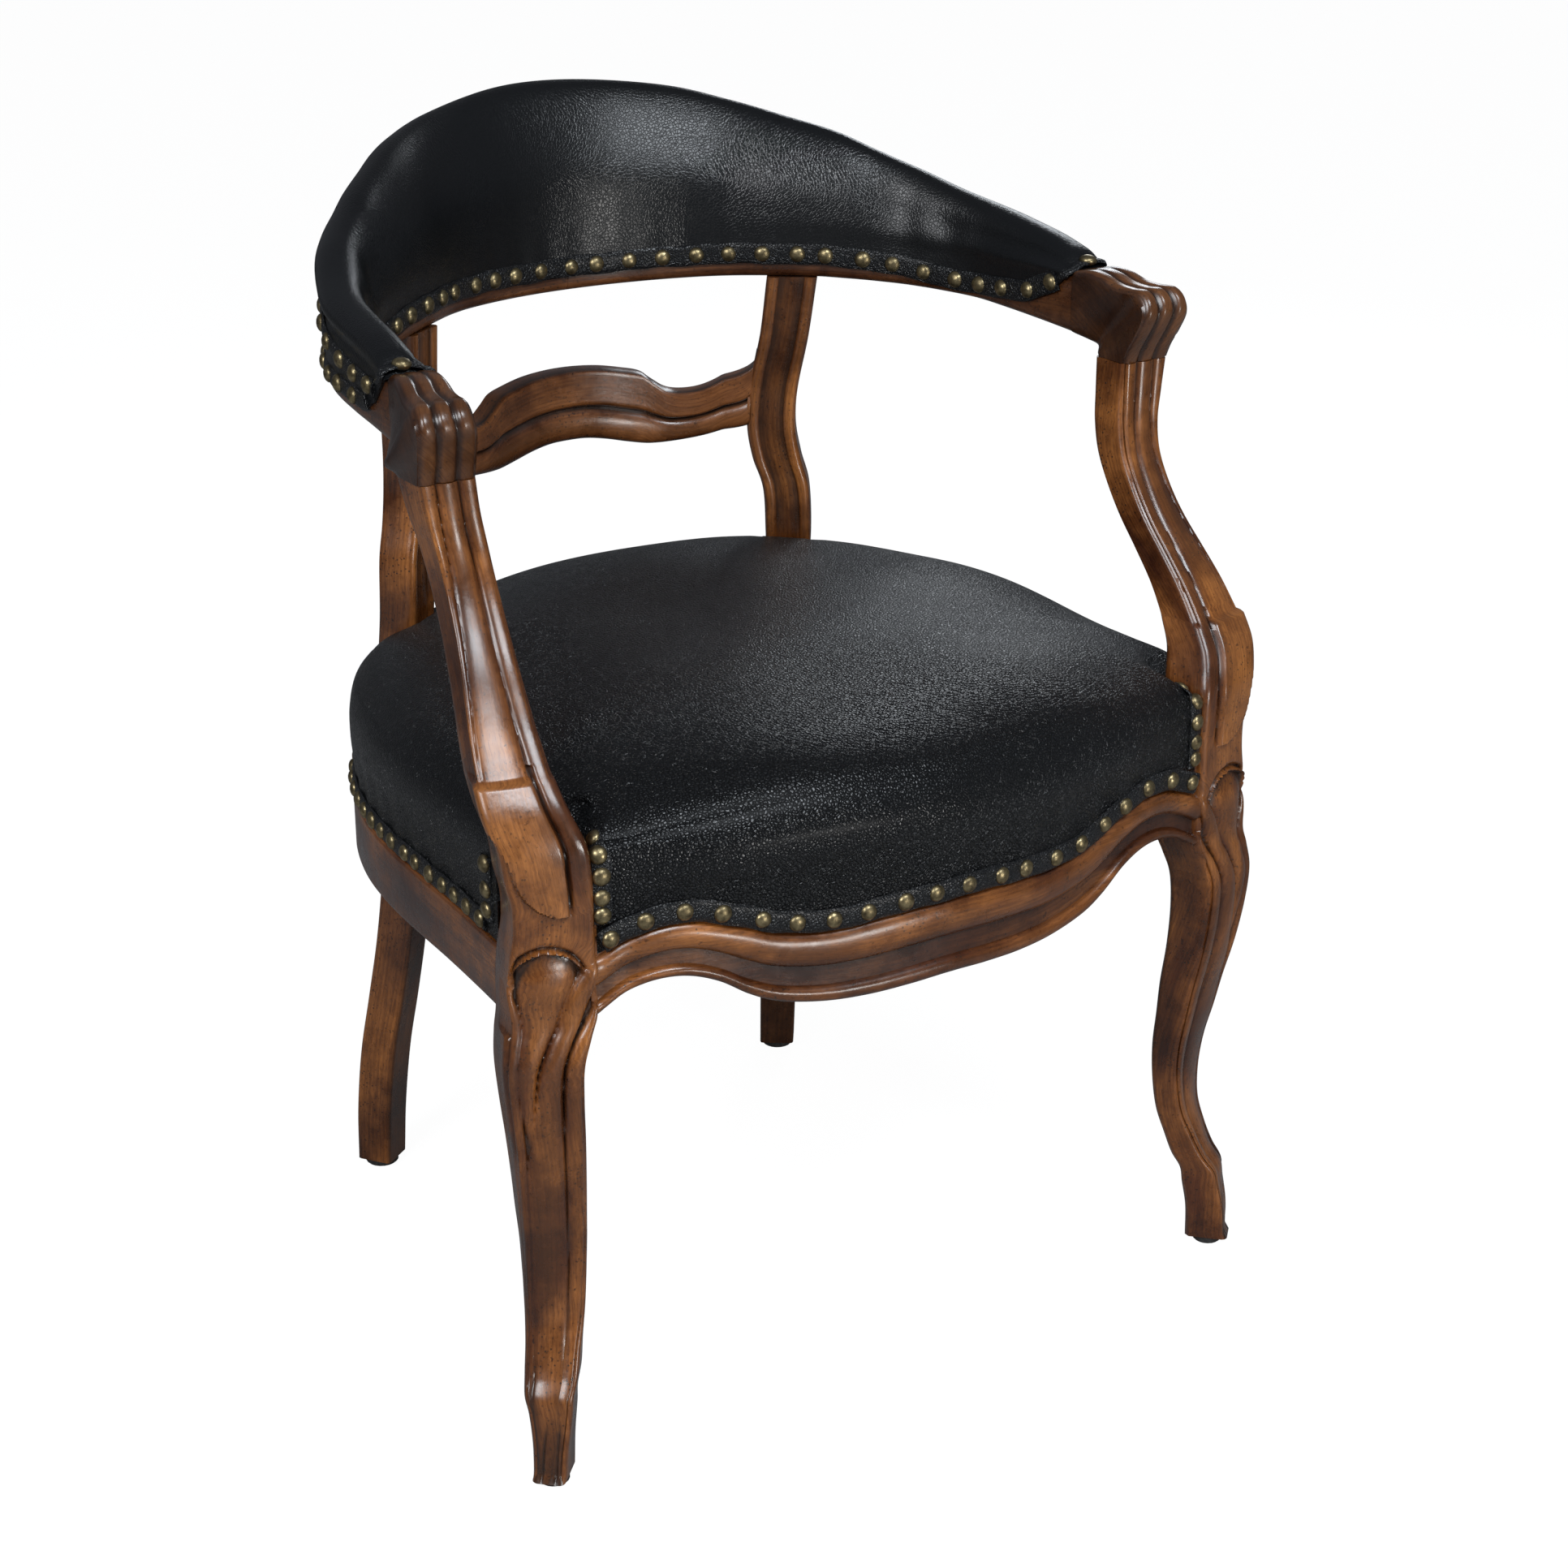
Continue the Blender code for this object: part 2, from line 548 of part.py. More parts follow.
def roll_outline(k, row, inset):
    """Leather surface from the inner lower edge over the top to the outer nail row."""
    under, height, ridge, lean, outer = row[2:7]
    wood = under + height
    fill = ridge - wood
    drop = ridge - outer
    face = HOOP_WIDTH / 2 + FIT_GAP + LEATHER - inset
    full = ROLL_HALF_ARM + (ROLL_HALF - ROLL_HALF_ARM) * min(1.0, k / 14.0) - inset
    points = [
        (-face, min(under + bare_height(k), wood - 0.0030)), (-face, wood - 0.0005),
        (-face - 0.0010 + lean * 0.10, wood + fill * 0.18), (-full * 0.78 + lean * 0.35, wood + fill * 0.45),
        (-full * 0.70 + lean * 0.75, wood + fill * 0.72), (-full * 0.46 + lean, wood + fill * 0.91),
        (lean, ridge), (full * 0.50 + lean, outer + drop * 0.92), (full * 0.84 + lean, outer + drop * 0.74),
        (full * 0.92 + lean * 0.85, outer + drop * 0.45), (max(face, full * 0.80 + lean * 0.5), outer + drop * 0.18),
        (face + outer_lean(row), outer),
    ]
    return [(o, z - inset * drop_share) for (o, z), drop_share in zip(points, ROLL_DROP)]


def outer_lean(row):
    """Outward lean of the back at the height of the outer nail row."""
    wood = row[2] + row[3]
    return max(0.0, 0.4 * row[5] * (row[6] - wood) / max(0.01, row[4] - wood))


def to_world(row, out, section):
    return [(row[0] + out[0] * o, row[1] + out[1] * o, z) for o, z in section]


def whole(half):
    """Right half followed by its mirror image, sharing the middle ring."""
    left = [[(-p[0], p[1], p[2]) for p in ring] for ring in reversed(half[:-1])]
    return half + left


cover_half = []
filling_half = []
outside_half = []
for k, (row, out) in enumerate(hoop_frames(0.0012)):
    outer_line = roll_outline(k, row, 0.0)
    inner_line = roll_outline(k, row, LEATHER)
    cover_half.append(to_world(row, out, outer_line + list(reversed(inner_line))))
    wood = row[2] + row[3] + FIT_GAP
    core = roll_outline(k, row, LEATHER + PAD_EASE)[2:12]
    core = [(o, max(z, wood + 0.0002 * min(i + 1, len(core) - i))) for i, (o, z) in enumerate(core)]
    edge = HOOP_WIDTH / 2 - 0.001
    core = [(min(edge, max(-edge, o)) if z < wood + 0.0020 else o, z) for o, z in core]
    core = [(-edge, wood)] + core + [(edge, wood)]
    filling_half.append(to_world(row, out, core))
    face = HOOP_WIDTH / 2 + FIT_GAP
    low = row[2] + BARE_STRIP_OUT
    top = row[6] - FIT_GAP
    mid = max(low + 0.004, min(top - 0.004, row[2] + row[3]))
    lean = outer_lean(row)
    outside_half.append(to_world(row, out, [
        (face, low), (face, mid), (face + lean, top),
        (face + LEATHER + lean, top), (face + LEATHER, mid), (face + LEATHER, low)]))
loft("back_padding", whole(filling_half), HORSEHAIR, 0.95, flip_from=99)
loft("back_cover_inside", whole(cover_half), BLACK_LEATHER, 0.35, flip_from=12)
loft("back_cover_outside", whole(outside_half), BLACK_LEATHER, 0.35)


# Carved cross slat between the stiles: x, lower edge, upper edge (plan curve below)
SPLAT = [
    (0.000, 0.5480, 0.6000), (0.015, 0.5475, 0.5995), (0.030, 0.5450, 0.5980), (0.045, 0.5415, 0.5950),
    (0.058, 0.5390, 0.5915), (0.066, 0.5385, 0.5850), (0.076, 0.5390, 0.5780), (0.088, 0.5405, 0.5765),
    (0.100, 0.5430, 0.5790), (0.112, 0.5470, 0.5860), (0.122, 0.5510, 0.5960), (0.1285, 0.5530, 0.6060),
]
SPLAT_MID_Y = 0.165
SPLAT_SWEEP = 0.0440        # how far the ends come forward
SPLAT_DEPTH = 0.019
SPLAT_END_GAP = 0.0005      # air between the slat and each stile


def splat_y(x):
    return SPLAT_MID_Y - SPLAT_SWEEP * (x / 0.1285) ** 2


def stile_inside(z):
    """How far out, along the width of the stile, its inner face lies at a height."""
    rows = resample(REAR_LEG, 34)
    face = rows[:, 1] * REAR_EX[0] + rows[:, 2] * REAR_EX[1] - rows[:, 3] / 2
    return float(np.interp(z, rows[:, 0], face))


def meet_stile(ring, sign):
    """Move the end ring of the slat onto the inner face of the stile beside it."""
    out = []
    for x, y, z in ring:
        here = sign * x * REAR_EX[0] + y * REAR_EX[1]
        move = stile_inside(z) - SPLAT_END_GAP - here
        out.append((x + sign * REAR_EX[0] * move, y + REAR_EX[1] * move, z))
    return out


splat = []
for x in np.linspace(-0.1285, 0.1285, 45):
    low, top = along(SPLAT, abs(x))
    slope = -2 * SPLAT_SWEEP * x / 0.1285 ** 2
    size = math.hypot(1, slope)
    back = (-slope / size, 1 / size)
    y = splat_y(x)
    high = top - low
    section = [
        (SPLAT_DEPTH, low + 0.002), (0.002, low), (0.0005, low + 0.004), (0.0005, low + high * 0.30),
        (0.0015, low + high * 0.40), (0.0045, low + high * 0.44), (0.0045, low + high * 0.48),
        (0.0020, low + high * 0.56), (0.0010, low + high * 0.75), (0.0020, top - 0.003),
        (0.0040, top), (SPLAT_DEPTH, top), (SPLAT_DEPTH, low + high * 0.70), (SPLAT_DEPTH, low + high * 0.35),
    ]
    splat.append([(x + back[0] * d, y + back[1] * d, z) for d, z in section])
splat[0] = meet_stile(splat[0], -1)
splat[-1] = meet_stile(splat[-1], 1)
loft("back_splat", splat, WALNUT, 0.35)


# Jute webbing, springs and hessian
def box(name, x0, x1, y0, y1, z0, z1, colour, rough):
    rings = [[(x0, y0, z), (x1, y0, z), (x1, y1, z), (x0, y1, z)] for z in (z0, z1)]
    return loft(name, rings, colour, rough)


CROSS_TOP = RAIL_UNDER - FIT_GAP
LONG_UNDER = CROSS_TOP + FIT_GAP
for number, y in enumerate(STRAPS_CROSS_Y, 1):
    edges = np.interp([y - STRAP_WIDTH / 2, y + STRAP_WIDTH / 2], side_path[:, 1], side_path[:, 0])
    reach = float(edges.min()) - STRAP_END_INSET
    box("webbing_cross_%d" % number, -reach, reach, y - STRAP_WIDTH / 2, y + STRAP_WIDTH / 2,
        CROSS_TOP - WEB_THICK, CROSS_TOP, JUTE, 0.9)
for number, x in enumerate(STRAPS_LONG_X, 1):
    back = REAR_RAIL_BOW - (REAR_RAIL_BOW - REAR_RAIL_Y) * ((abs(x) + 0.025) / REAR_RAIL_X) ** 2 - 0.005
    box("webbing_long_%d" % number, x - STRAP_WIDTH / 2, x + STRAP_WIDTH / 2,
        rail_front_y(abs(x) + 0.025) + 0.0145, back, LONG_UNDER, LONG_UNDER + WEB_THICK, JUTE, 0.9)

SPRING_BASE = LONG_UNDER + WEB_THICK + FIT_GAP
SPRING_TOP = HESSIAN_Z - FIT_GAP


def spring(name, cx, cy, base):
    low = base + SPRING_WIRE
    high = SPRING_TOP - SPRING_WIRE
    steps = SPRING_TURNS * 11
    rings = []
    for i in range(steps + 1):
        t = i / steps
        rise = min(1.0, max(0.0, (t * SPRING_TURNS - 0.8) / (SPRING_TURNS - 1.6)))
        waist = math.sin(math.pi * rise)
        radius = SPRING_END_RADIUS + (SPRING_WAIST - SPRING_END_RADIUS) * waist - 0.004 * abs(2 * t - 1) ** 8
        angle = 2 * math.pi * SPRING_TURNS * t
        squash = 0.0040 * min(1.0, t * SPRING_TURNS) + 0.0040 * max(0.0, t * SPRING_TURNS - SPRING_TURNS + 1)
        z = low + squash + (high - low - 0.0080) * rise
        out = (math.cos(angle), math.sin(angle))
        ring = []
        for k in range(4):
            a = math.pi / 2 * k
            r = radius + SPRING_WIRE * math.cos(a)
            ring.append((cx + out[0] * r, cy + out[1] * r, z + SPRING_WIRE * math.sin(a)))
        rings.append(ring)
    loft(name, rings, STEEL, 0.4, 1.0)


for number, (x, y) in enumerate(SPRINGS, 1):
    base = SPRING_BASE
    spring("spring_%d" % number, x, y, base)


# Seat outline: outer face of the leather at the rails, right half from front to back
SEAT_EASE = 0.0009          # air between the seat leather and the rebates of the rails
LEATHER_FACE = REBATE - SEAT_EASE - LEATHER
LEATHER_FOOT = 0.0012       # lower edge of the leather above the bare moulding
NOTCH_FOOT = RAIL_TOP + 0.0005  # lower edge where it passes round a leg, above the rails
CUT_START = 0.955           # inside this share of the outline the cuts round the legs fade
CUT_REACH = 0.13            # share of the way to the middle over which the cuts fade
STUFFING_EASE = 0.0048      # leather and air between the outside of the seat and its filling


def rear_face_y(x):
    """Outer face of the rear rail in plan."""
    t = x / REAR_RAIL_X
    return REAR_RAIL_BOW - (REAR_RAIL_BOW - REAR_RAIL_Y) * t * t


def half_outline():
    """Right half of the leather in plan, each point with the height of its lower edge."""
    over = LEATHER_FOOT
    side_low = SIDE_RAIL_VISIBLE + over
    points = []
    for x in (0.0, 0.030, 0.060, 0.090, 0.120, 0.140, 0.160, 0.180, 0.200, 0.220):
        points.append((x, rail_front_y(x) + LEATHER_FACE, along(RAIL_STATIONS, x)[1] + over))
    points.append((0.2360, -0.2757, along(RAIL_STATIONS, 0.2360)[1] + over))
    points += [(0.2367, -0.2753, NOTCH_FOOT), (0.2272, -0.2410, NOTCH_FOOT), (0.2764, -0.2253, NOTCH_FOOT)]
    points += [(0.2763, -0.2235, side_low), (0.2749, -0.2085, side_low)]
    for k in range(3, SIDE_RINGS - 2, 2):
        x, y = side_path[k]
        points.append((x - side_tangent[k][1] * LEATHER_FACE, y + side_tangent[k][0] * LEATHER_FACE, side_low))
    points += [(0.2008, 0.1100, NOTCH_FOOT), (0.1900, 0.1120, NOTCH_FOOT), (0.1660, 0.0965, NOTCH_FOOT)]
    points += [(0.1375, 0.1150, NOTCH_FOOT), (0.1490, 0.1335, NOTCH_FOOT)]
    points.append((0.1490, rear_face_y(0.1490) - LEATHER_FACE, NOTCH_FOOT))
    for x in (0.1450, 0.120, 0.080, 0.040, 0.0):
        points.append((x, rear_face_y(x) - LEATHER_FACE, side_low))
    return points


right_outline = half_outline()
seat_outline = right_outline + [(-x, y, low) for x, y, low in reversed(right_outline[1:-1])]


def bridged_reach():
    """Distance of the outline from the seat centre, straight across the cuts round the legs."""
    cx, cy = SEAT_CENTRE
    turns = [math.atan2(y - cy, x - cx) for x, y, low in seat_outline]
    reaches = [math.hypot(x - cx, y - cy) for x, y, low in seat_outline]
    cut = [low == NOTCH_FOOT for x, y, low in seat_outline]
    kept = sorted((t, r) for t, r, c in zip(turns, reaches, cut) if not c)
    kept_turns = [t for t, r in kept]
    kept_reaches = [r for t, r in kept]
    return [float(np.interp(t, kept_turns, kept_reaches, period=2 * math.pi)) for t in turns]


BRIDGED = bridged_reach()


def outline_ring(scale, z, bulge=0.0, shrink=0.0):
    """Outline pulled towards the seat centre, pushed out in the middle of each side.

    Without a height the ring follows the lower edge of the leather. Rings well inside the
    edge forget the cuts round the legs.
    """
    ring = []
    cx, cy = SEAT_CENTRE
    share = min(1.0, max(0.0, (CUT_START - scale) / CUT_REACH))
    for (x, y, low), bridged in zip(seat_outline, BRIDGED):
        turn = math.atan2(y - cy, x - cx)
        notched = math.hypot(x - cx, y - cy)
        reach = notched + (bridged - notched) * share
        dx = math.cos(turn) * reach
        dy = math.sin(turn) * reach
        free = 1.0
        if 0.2155 < abs(x) and y < -0.205:
            free = 0.0
        if 0.135 < abs(x) < 0.205 and y > 0.09:
            free = 0.0
        push = bulge * free - shrink
        k = scale + push / reach
        ring.append((cx + dx * k, cy + dy * k, low if z is None else z))
    return ring


CROWN = [
    (1.0, RAIL_TOP + 0.018, 0.0050), (1.0, RAIL_TOP + 0.035, 0.0060), (0.992, RAIL_TOP + 0.048, 0.0035),
    (0.970, RAIL_TOP + 0.058, 0.0010), (0.920, RAIL_TOP + 0.068, 0.0), (0.820, RAIL_TOP + 0.078, 0.0),
    (0.620, RAIL_TOP + 0.090, 0.0), (0.340, RAIL_TOP + 0.098, 0.0), (0.080, SEAT_CROWN, 0.0),
]


def crown_rings(shrink, drop):
    return [outline_ring(s, z - drop, bulge, shrink) for s, z, bulge in CROWN]


outer_rings = [outline_ring(1.0, None), outline_ring(1.0, RAIL_TOP + 0.0045)] + crown_rings(0.0, 0.0)
inner_rings = [outline_ring(1.0, None, 0.0, LEATHER), outline_ring(1.0, RAIL_TOP + 0.0045, 0.0, LEATHER)]
inner_rings += crown_rings(LEATHER, LEATHER)
loft("seat_cover", list(reversed(outer_rings)) + inner_rings, BLACK_LEATHER, 0.35, flip_from=999)

STUFF_BASE = HESSIAN_Z + 0.0014 + FIT_GAP
stuffing = [outline_ring(1.0, STUFF_BASE, 0.0, STUFFING_EASE)]
stuffing += [outline_ring(1.0, RAIL_TOP + 0.0050, 0.0, STUFFING_EASE)]
stuffing += crown_rings(STUFFING_EASE, STUFFING_EASE)
loft("seat_stuffing", stuffing, HORSEHAIR, 0.95, flip_from=999)
hessian = [outline_ring(1.0, z, 0.0, STUFFING_EASE) for z in (HESSIAN_Z, HESSIAN_Z + 0.0014)]
loft("hessian_cloth", hessian, HESSIAN, 0.95)


# Leather bands with their rows of brass nails, each band one piece
def dome(centre, out, along_dir, radius, height):
    """Low nail head: vertices and faces of one small closed dome."""
    out = Vector(out).normalized()
    side = Vector(along_dir).normalized()
    up = out.cross(side)
    centre = Vector(centre)
    verts = []
    for lift, share in ((-0.0008, 1.0), (height * 0.45, 0.88)):
        for k in range(6):
            a = math.pi / 3 * k
            verts.append(centre + out * lift + (side * math.cos(a) + up * math.sin(a)) * radius * share)
    verts.append(centre + out * height)
    faces = [tuple(reversed(range(6)))]
    for k in range(6):
        n = (k + 1) % 6
        faces.append((k, n, 6 + n, 6 + k))
        faces.append((6 + k, 6 + n, 12))
    return verts, faces


def nailed_band(name, path, outs, ups, nail_count, first=0.5, width=BAND_WIDTH):
    """Strip of leather along a path on the surface, with domed nails united to it."""
    path = np.array(path)
    outs = np.array(outs)
    ups = np.array(ups)
    rings = []
    for p, o, u in zip(path, outs, ups):
        a = p + o * FIT_GAP
        b = p + o * (FIT_GAP + LEATHER)
        rings.append([a - u * width / 2, a + u * width / 2, b + u * width / 2, b - u * width / 2])
    band = loft(name, rings, BLACK_LEATHER, 0.4)
    steps = np.linalg.norm(np.diff(path, axis=0), axis=1)
    run = np.concatenate([[0.0], np.cumsum(steps)])
    pitch = run[-1] / (nail_count - 1 + 2 * first)
    verts = []
    faces = []
    for n in range(nail_count):
        s = pitch * (first + n)
        centre = np.array([np.interp(s, run, path[:, c]) for c in range(3)])
        out = np.array([np.interp(s, run, outs[:, c]) for c in range(3)])
        near = min(int(np.searchsorted(run, s)), len(path) - 1)
        tangent = path[near] - path[max(0, near - 1)]
        centre = centre + out * (FIT_GAP + LEATHER)
        tangent = tangent - out * float(np.dot(tangent, out)) / float(np.dot(out, out))
        more_verts, more_faces = dome(centre, out, tangent, NAIL_RADIUS, NAIL_HEIGHT)
        base = len(verts)
        verts += more_verts
        faces += [tuple(base + i for i in face) for face in more_faces]
    heads = add_mesh(name + "_cutter", verts, faces, (0.5, 0.38, 0.14), 0.4, 1.0)
    union = band.modifiers.new("nails", "BOOLEAN")
    union.operation = "UNION"
    union.solver = "EXACT"
    union.object = heads
    bpy.context.view_layer.update()
    graph = bpy.context.evaluated_depsgraph_get()
    joined = bpy.data.meshes.new_from_object(band.evaluated_get(graph))
    band.modifiers.clear()
    band.data = joined
    bpy.data.objects.remove(heads, do_unlink=True)
    return band


def outward_2d(points):
    """Unit outward direction in plan for an open run of points going round the seat."""
    grad = np.gradient(np.array(points), axis=0)
    grad /= np.linalg.norm(grad, axis=1)[:, None]
    return np.stack([grad[:, 1], -grad[:, 0]], axis=1)


UP = np.array([0.0, 0.0, 1.0])

front_x = np.linspace(-0.2200, 0.2200, 33)
front_plan = [(x, rail_front_y(x) + LEATHER_FACE) for x in front_x]
front_out = outward_2d(front_plan)
nailed_band("seat_band_front",
            [(x, y, along(RAIL_STATIONS, abs(x))[1] + 0.0012 + BAND_WIDTH / 2) for x, y in front_plan],
            [(o[0], o[1], 0.0) for o in front_out], [UP] * len(front_plan), 18)

# Vertical bands up the inner edge of each front post, and down its outer back edge
POST_BAND_WIDTH = 0.0140


def upright_band(name, start, end, low, high, nails, sign):
    """Upright strip on the flat of leather between two outline points beside a post."""
    run = np.array([end[0] - start[0], end[1] - start[1], 0.0])
    run /= np.linalg.norm(run)
    out = np.array([run[1], -run[0], 0.0])
    x = (start[0] + end[0]) / 2
    y = (start[1] + end[1]) / 2
    path = [(sign * x, y, z) for z in np.linspace(low, high, 4)]
    flip = np.array([sign, 1.0, 1.0])
    nailed_band(name, path, [out * flip] * 4, [run * flip] * 4, nails, 0.45, POST_BAND_WIDTH)


for side, sign in (("right", 1), ("left", -1)):
    upright_band("post_band_inner_" + side, (0.2200, rail_front_y(0.2200) + LEATHER_FACE), (0.2360, -0.2757),
                 RAIL_TOP - 0.006, RAIL_TOP + 0.039, 3, sign)
    upright_band("post_band_outer_" + side, (0.2763, -0.2235), (0.2749, -0.2085),
                 RAIL_TOP - 0.011, RAIL_TOP + 0.039, 3, sign)


# Side and rear bands
def side_band_line(count):
    line = resample([(x - LEATHER_FACE, y) for x, y in SIDE_RAIL[1:-2]], count)
    return line, outward_2d(line)


side_line, side_out = side_band_line(20)
for side, sign in (("right", 1), ("left", -1)):
    nailed_band("seat_band_" + side,
                [(sign * x, y, SIDE_RAIL_VISIBLE + 0.0012 + BAND_WIDTH / 2) for x, y in side_line],
                [(sign * o[0], o[1], 0.0) for o in side_out], [UP] * len(side_line), 15)
rear_x = np.linspace(-0.140, 0.140, 15)
rear_plan = [(x, REAR_RAIL_BOW - (REAR_RAIL_BOW - REAR_RAIL_Y) * (x / REAR_RAIL_X) ** 2 - LEATHER_FACE)
             for x in rear_x]
rear_out = outward_2d(rear_plan) * -1
nailed_band("seat_band_rear",
            [(x, y, SIDE_RAIL_VISIBLE + 0.0012 + BAND_WIDTH / 2) for x, y in rear_plan],
            [(o[0], o[1], 0.0) for o in rear_out], [UP] * len(rear_plan), 11)


# Bands on the back: inside lower edge, outside upper row, outside lower row
OUTER_BAND_WIDTH = 0.0110
COVER_FACE = HOOP_WIDTH / 2 + FIT_GAP + LEATHER


def inside_face(k, row):
    """Inner and upper edge of the inside band, as offset and height."""
    low = row[2] + bare_height(k) + 0.0005
    return (-COVER_FACE, low), (-COVER_FACE, low + BAND_WIDTH)


def outside_offset(row, z):
    """Offset of the outside leather at a height."""
    wood = row[2] + row[3]
    low = row[2] + BARE_STRIP_OUT
    top = row[6] - FIT_GAP
    mid = max(low + 0.004, min(top - 0.004, wood))
    return float(np.interp(z, [low, mid, top], [COVER_FACE, COVER_FACE, COVER_FACE + outer_lean(row)]))


def lower_face(k, row):
    low = row[2] + BARE_STRIP_OUT + 0.0005
    high = low + OUTER_BAND_WIDTH
    return (outside_offset(row, low), low), (outside_offset(row, high), high)


def upper_face(k, row):
    high = row[6] - 2 * FIT_GAP
    low = high - OUTER_BAND_WIDTH
    return (outside_offset(row, low), low), (outside_offset(row, high), high)


def hoop_band(name, edges_of, facing, nails, trim, width):
    path = []
    outs = []
    ups = []
    for k, (row, out) in list(enumerate(hoop_frames(0.0012)))[trim:]:
        (o0, z0), (o1, z1) = edges_of(k, row)
        size = math.hypot(o1 - o0, z1 - z0)
        up = np.array([out[0] * (o1 - o0), out[1] * (o1 - o0), z1 - z0]) / size
        normal = np.array([out[0] * (z1 - z0), out[1] * (z1 - z0), -(o1 - o0)]) / size * facing
        o = (o0 + o1) / 2
        path.append((row[0] + out[0] * o, row[1] + out[1] * o, (z0 + z1) / 2))
        outs.append(normal)
        ups.append(up)
    turn = np.array([-1.0, 1.0, 1.0])
    path = path + [np.array(p) * turn for p in reversed(path[:-1])]
    outs = outs + [o * turn for o in reversed(outs[:-1])]
    ups = ups + [u * turn for u in reversed(ups[:-1])]
    nailed_band(name, path, outs, ups, nails, 0.5, width)


hoop_band("back_band_inside", inside_face, -1, 30, 3, BAND_WIDTH)
hoop_band("back_band_outer_low", lower_face, 1, 30, 2, OUTER_BAND_WIDTH)
hoop_band("back_band_outer_high", upper_face, 1, 32, 3, OUTER_BAND_WIDTH)


# Shared frame: the middle of the overall depth stands over the origin
DEPTH_SHIFT = 0.0531
for piece in bpy.context.scene.objects:
    piece.data.transform(Matrix.Translation((0.0, DEPTH_SHIFT, 0.0)))
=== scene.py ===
# %% [markdown]
# Hoop-backed desk armchair: a carved walnut frame, black leather over horsehair, brass nails.
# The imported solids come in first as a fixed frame, in metres, with Z up and the front at -Y.
# Every visible piece is then rebuilt with finer shapes in the same place.

# %% Load the frame
import math

import bpy
import numpy as np
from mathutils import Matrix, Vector


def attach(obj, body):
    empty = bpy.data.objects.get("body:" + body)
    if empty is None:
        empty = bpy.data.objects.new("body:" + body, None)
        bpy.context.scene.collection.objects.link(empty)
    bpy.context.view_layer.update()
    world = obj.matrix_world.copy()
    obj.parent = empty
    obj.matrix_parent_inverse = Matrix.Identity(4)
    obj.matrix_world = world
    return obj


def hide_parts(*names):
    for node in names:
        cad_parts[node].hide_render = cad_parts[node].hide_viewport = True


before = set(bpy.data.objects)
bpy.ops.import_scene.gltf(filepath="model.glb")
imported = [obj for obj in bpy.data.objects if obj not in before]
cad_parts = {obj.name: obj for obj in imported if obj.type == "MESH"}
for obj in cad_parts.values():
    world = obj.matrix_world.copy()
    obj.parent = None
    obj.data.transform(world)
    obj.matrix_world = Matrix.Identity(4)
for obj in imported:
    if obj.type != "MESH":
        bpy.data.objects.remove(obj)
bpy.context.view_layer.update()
scene = bpy.context.scene
DEPTH_SHIFT = 0.0531        # the tables below put y = 0 further back than the frame does
print("solids in the frame:", len(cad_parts))

# %% [markdown]
# Camera. The photograph was taken from the left of the front, a little above the crest.
# Its place and lens were solved from the chair's own symmetry, so the render lines up with it.

# %% Camera
CAMERA_PLACE = (-1.046, -1.722, 1.153)
CAMERA_TURN = math.radians(-33.18)
CAMERA_DIP = math.radians(22.2)
FOCAL_PIXELS = 3704.6
IMAGE_PIXELS = 1932
camera = bpy.data.objects.new("camera", bpy.data.cameras.new("camera"))
scene.collection.objects.link(camera)
camera.location = (CAMERA_PLACE[0], CAMERA_PLACE[1] + DEPTH_SHIFT, CAMERA_PLACE[2])
camera.rotation_euler = (math.pi / 2 - CAMERA_DIP, 0.0, CAMERA_TURN)
camera.data.sensor_width = 36.0
camera.data.lens = FOCAL_PIXELS * 36.0 / IMAGE_PIXELS
scene.camera = camera
print("lens", round(camera.data.lens, 1), "mm")

# %% [markdown]
# Light and floor. A cut-out on white asks for a pale floor and soft lamps. The world is white
# only where the camera sees it, so the black leather is not washed out.

# %% World and floor
WORLD_TINT = (0.86, 0.90, 1.0, 1.0)
WORLD_STRENGTH = 0.13
WHITE = (1.0, 1.0, 1.0, 1.0)
FLOOR_HALF = 40.0
FLOOR_GREY = (0.30, 0.30, 0.30, 1.0)
FLOOR_PALE = (0.95, 0.95, 0.95, 1.0)
FLOOR_WHITE_SHARE = 0.86
FLOOR_WHITE_STRENGTH = 1.12
scene.view_settings.view_transform = "Standard"


def feed(tree, item, values):
    """Give a node its inputs by name or place; a socket is linked, anything else is set."""
    for key, value in values.items():
        if isinstance(value, bpy.types.NodeSocket):
            tree.links.new(value, item.inputs[key])
        else:
            item.inputs[key].default_value = value


def node(tree, kind, values=None, **settings):
    item = tree.nodes.new(kind)
    for key, value in settings.items():
        setattr(item, key, value)
    feed(tree, item, values or {})
    return item


def calculate(tree, operation, *numbers):
    """Result of a sum on numbers or sockets, kept within 0 and 1."""
    values = dict(enumerate(numbers))
    return node(tree, "ShaderNodeMath", values, operation=operation, use_clamp=True).outputs[0]


def start_material(name):
    """New material: itself, its tree, its shader and its coordinates."""
    material = bpy.data.materials.new(name)
    material.use_nodes = True
    tree = material.node_tree
    return material, tree, tree.nodes["Principled BSDF"], node(tree, "ShaderNodeTexCoord").outputs


world = bpy.data.worlds.new("studio")
scene.world = world
world.use_nodes = True
tree = world.node_tree
backdrop = tree.nodes["Background"]
feed(tree, backdrop, {"Color": WORLD_TINT, "Strength": WORLD_STRENGTH})
seen = node(tree, "ShaderNodeBackground", {"Color": WHITE, "Strength": 1.0})
camera_ray = node(tree, "ShaderNodeLightPath").outputs["Is Camera Ray"]
pick = node(tree, "ShaderNodeMixShader", {0: camera_ray, 1: backdrop.outputs[0], 2: seen.outputs[0]})
feed(tree, tree.nodes["World Output"], {"Surface": pick.outputs[0]})

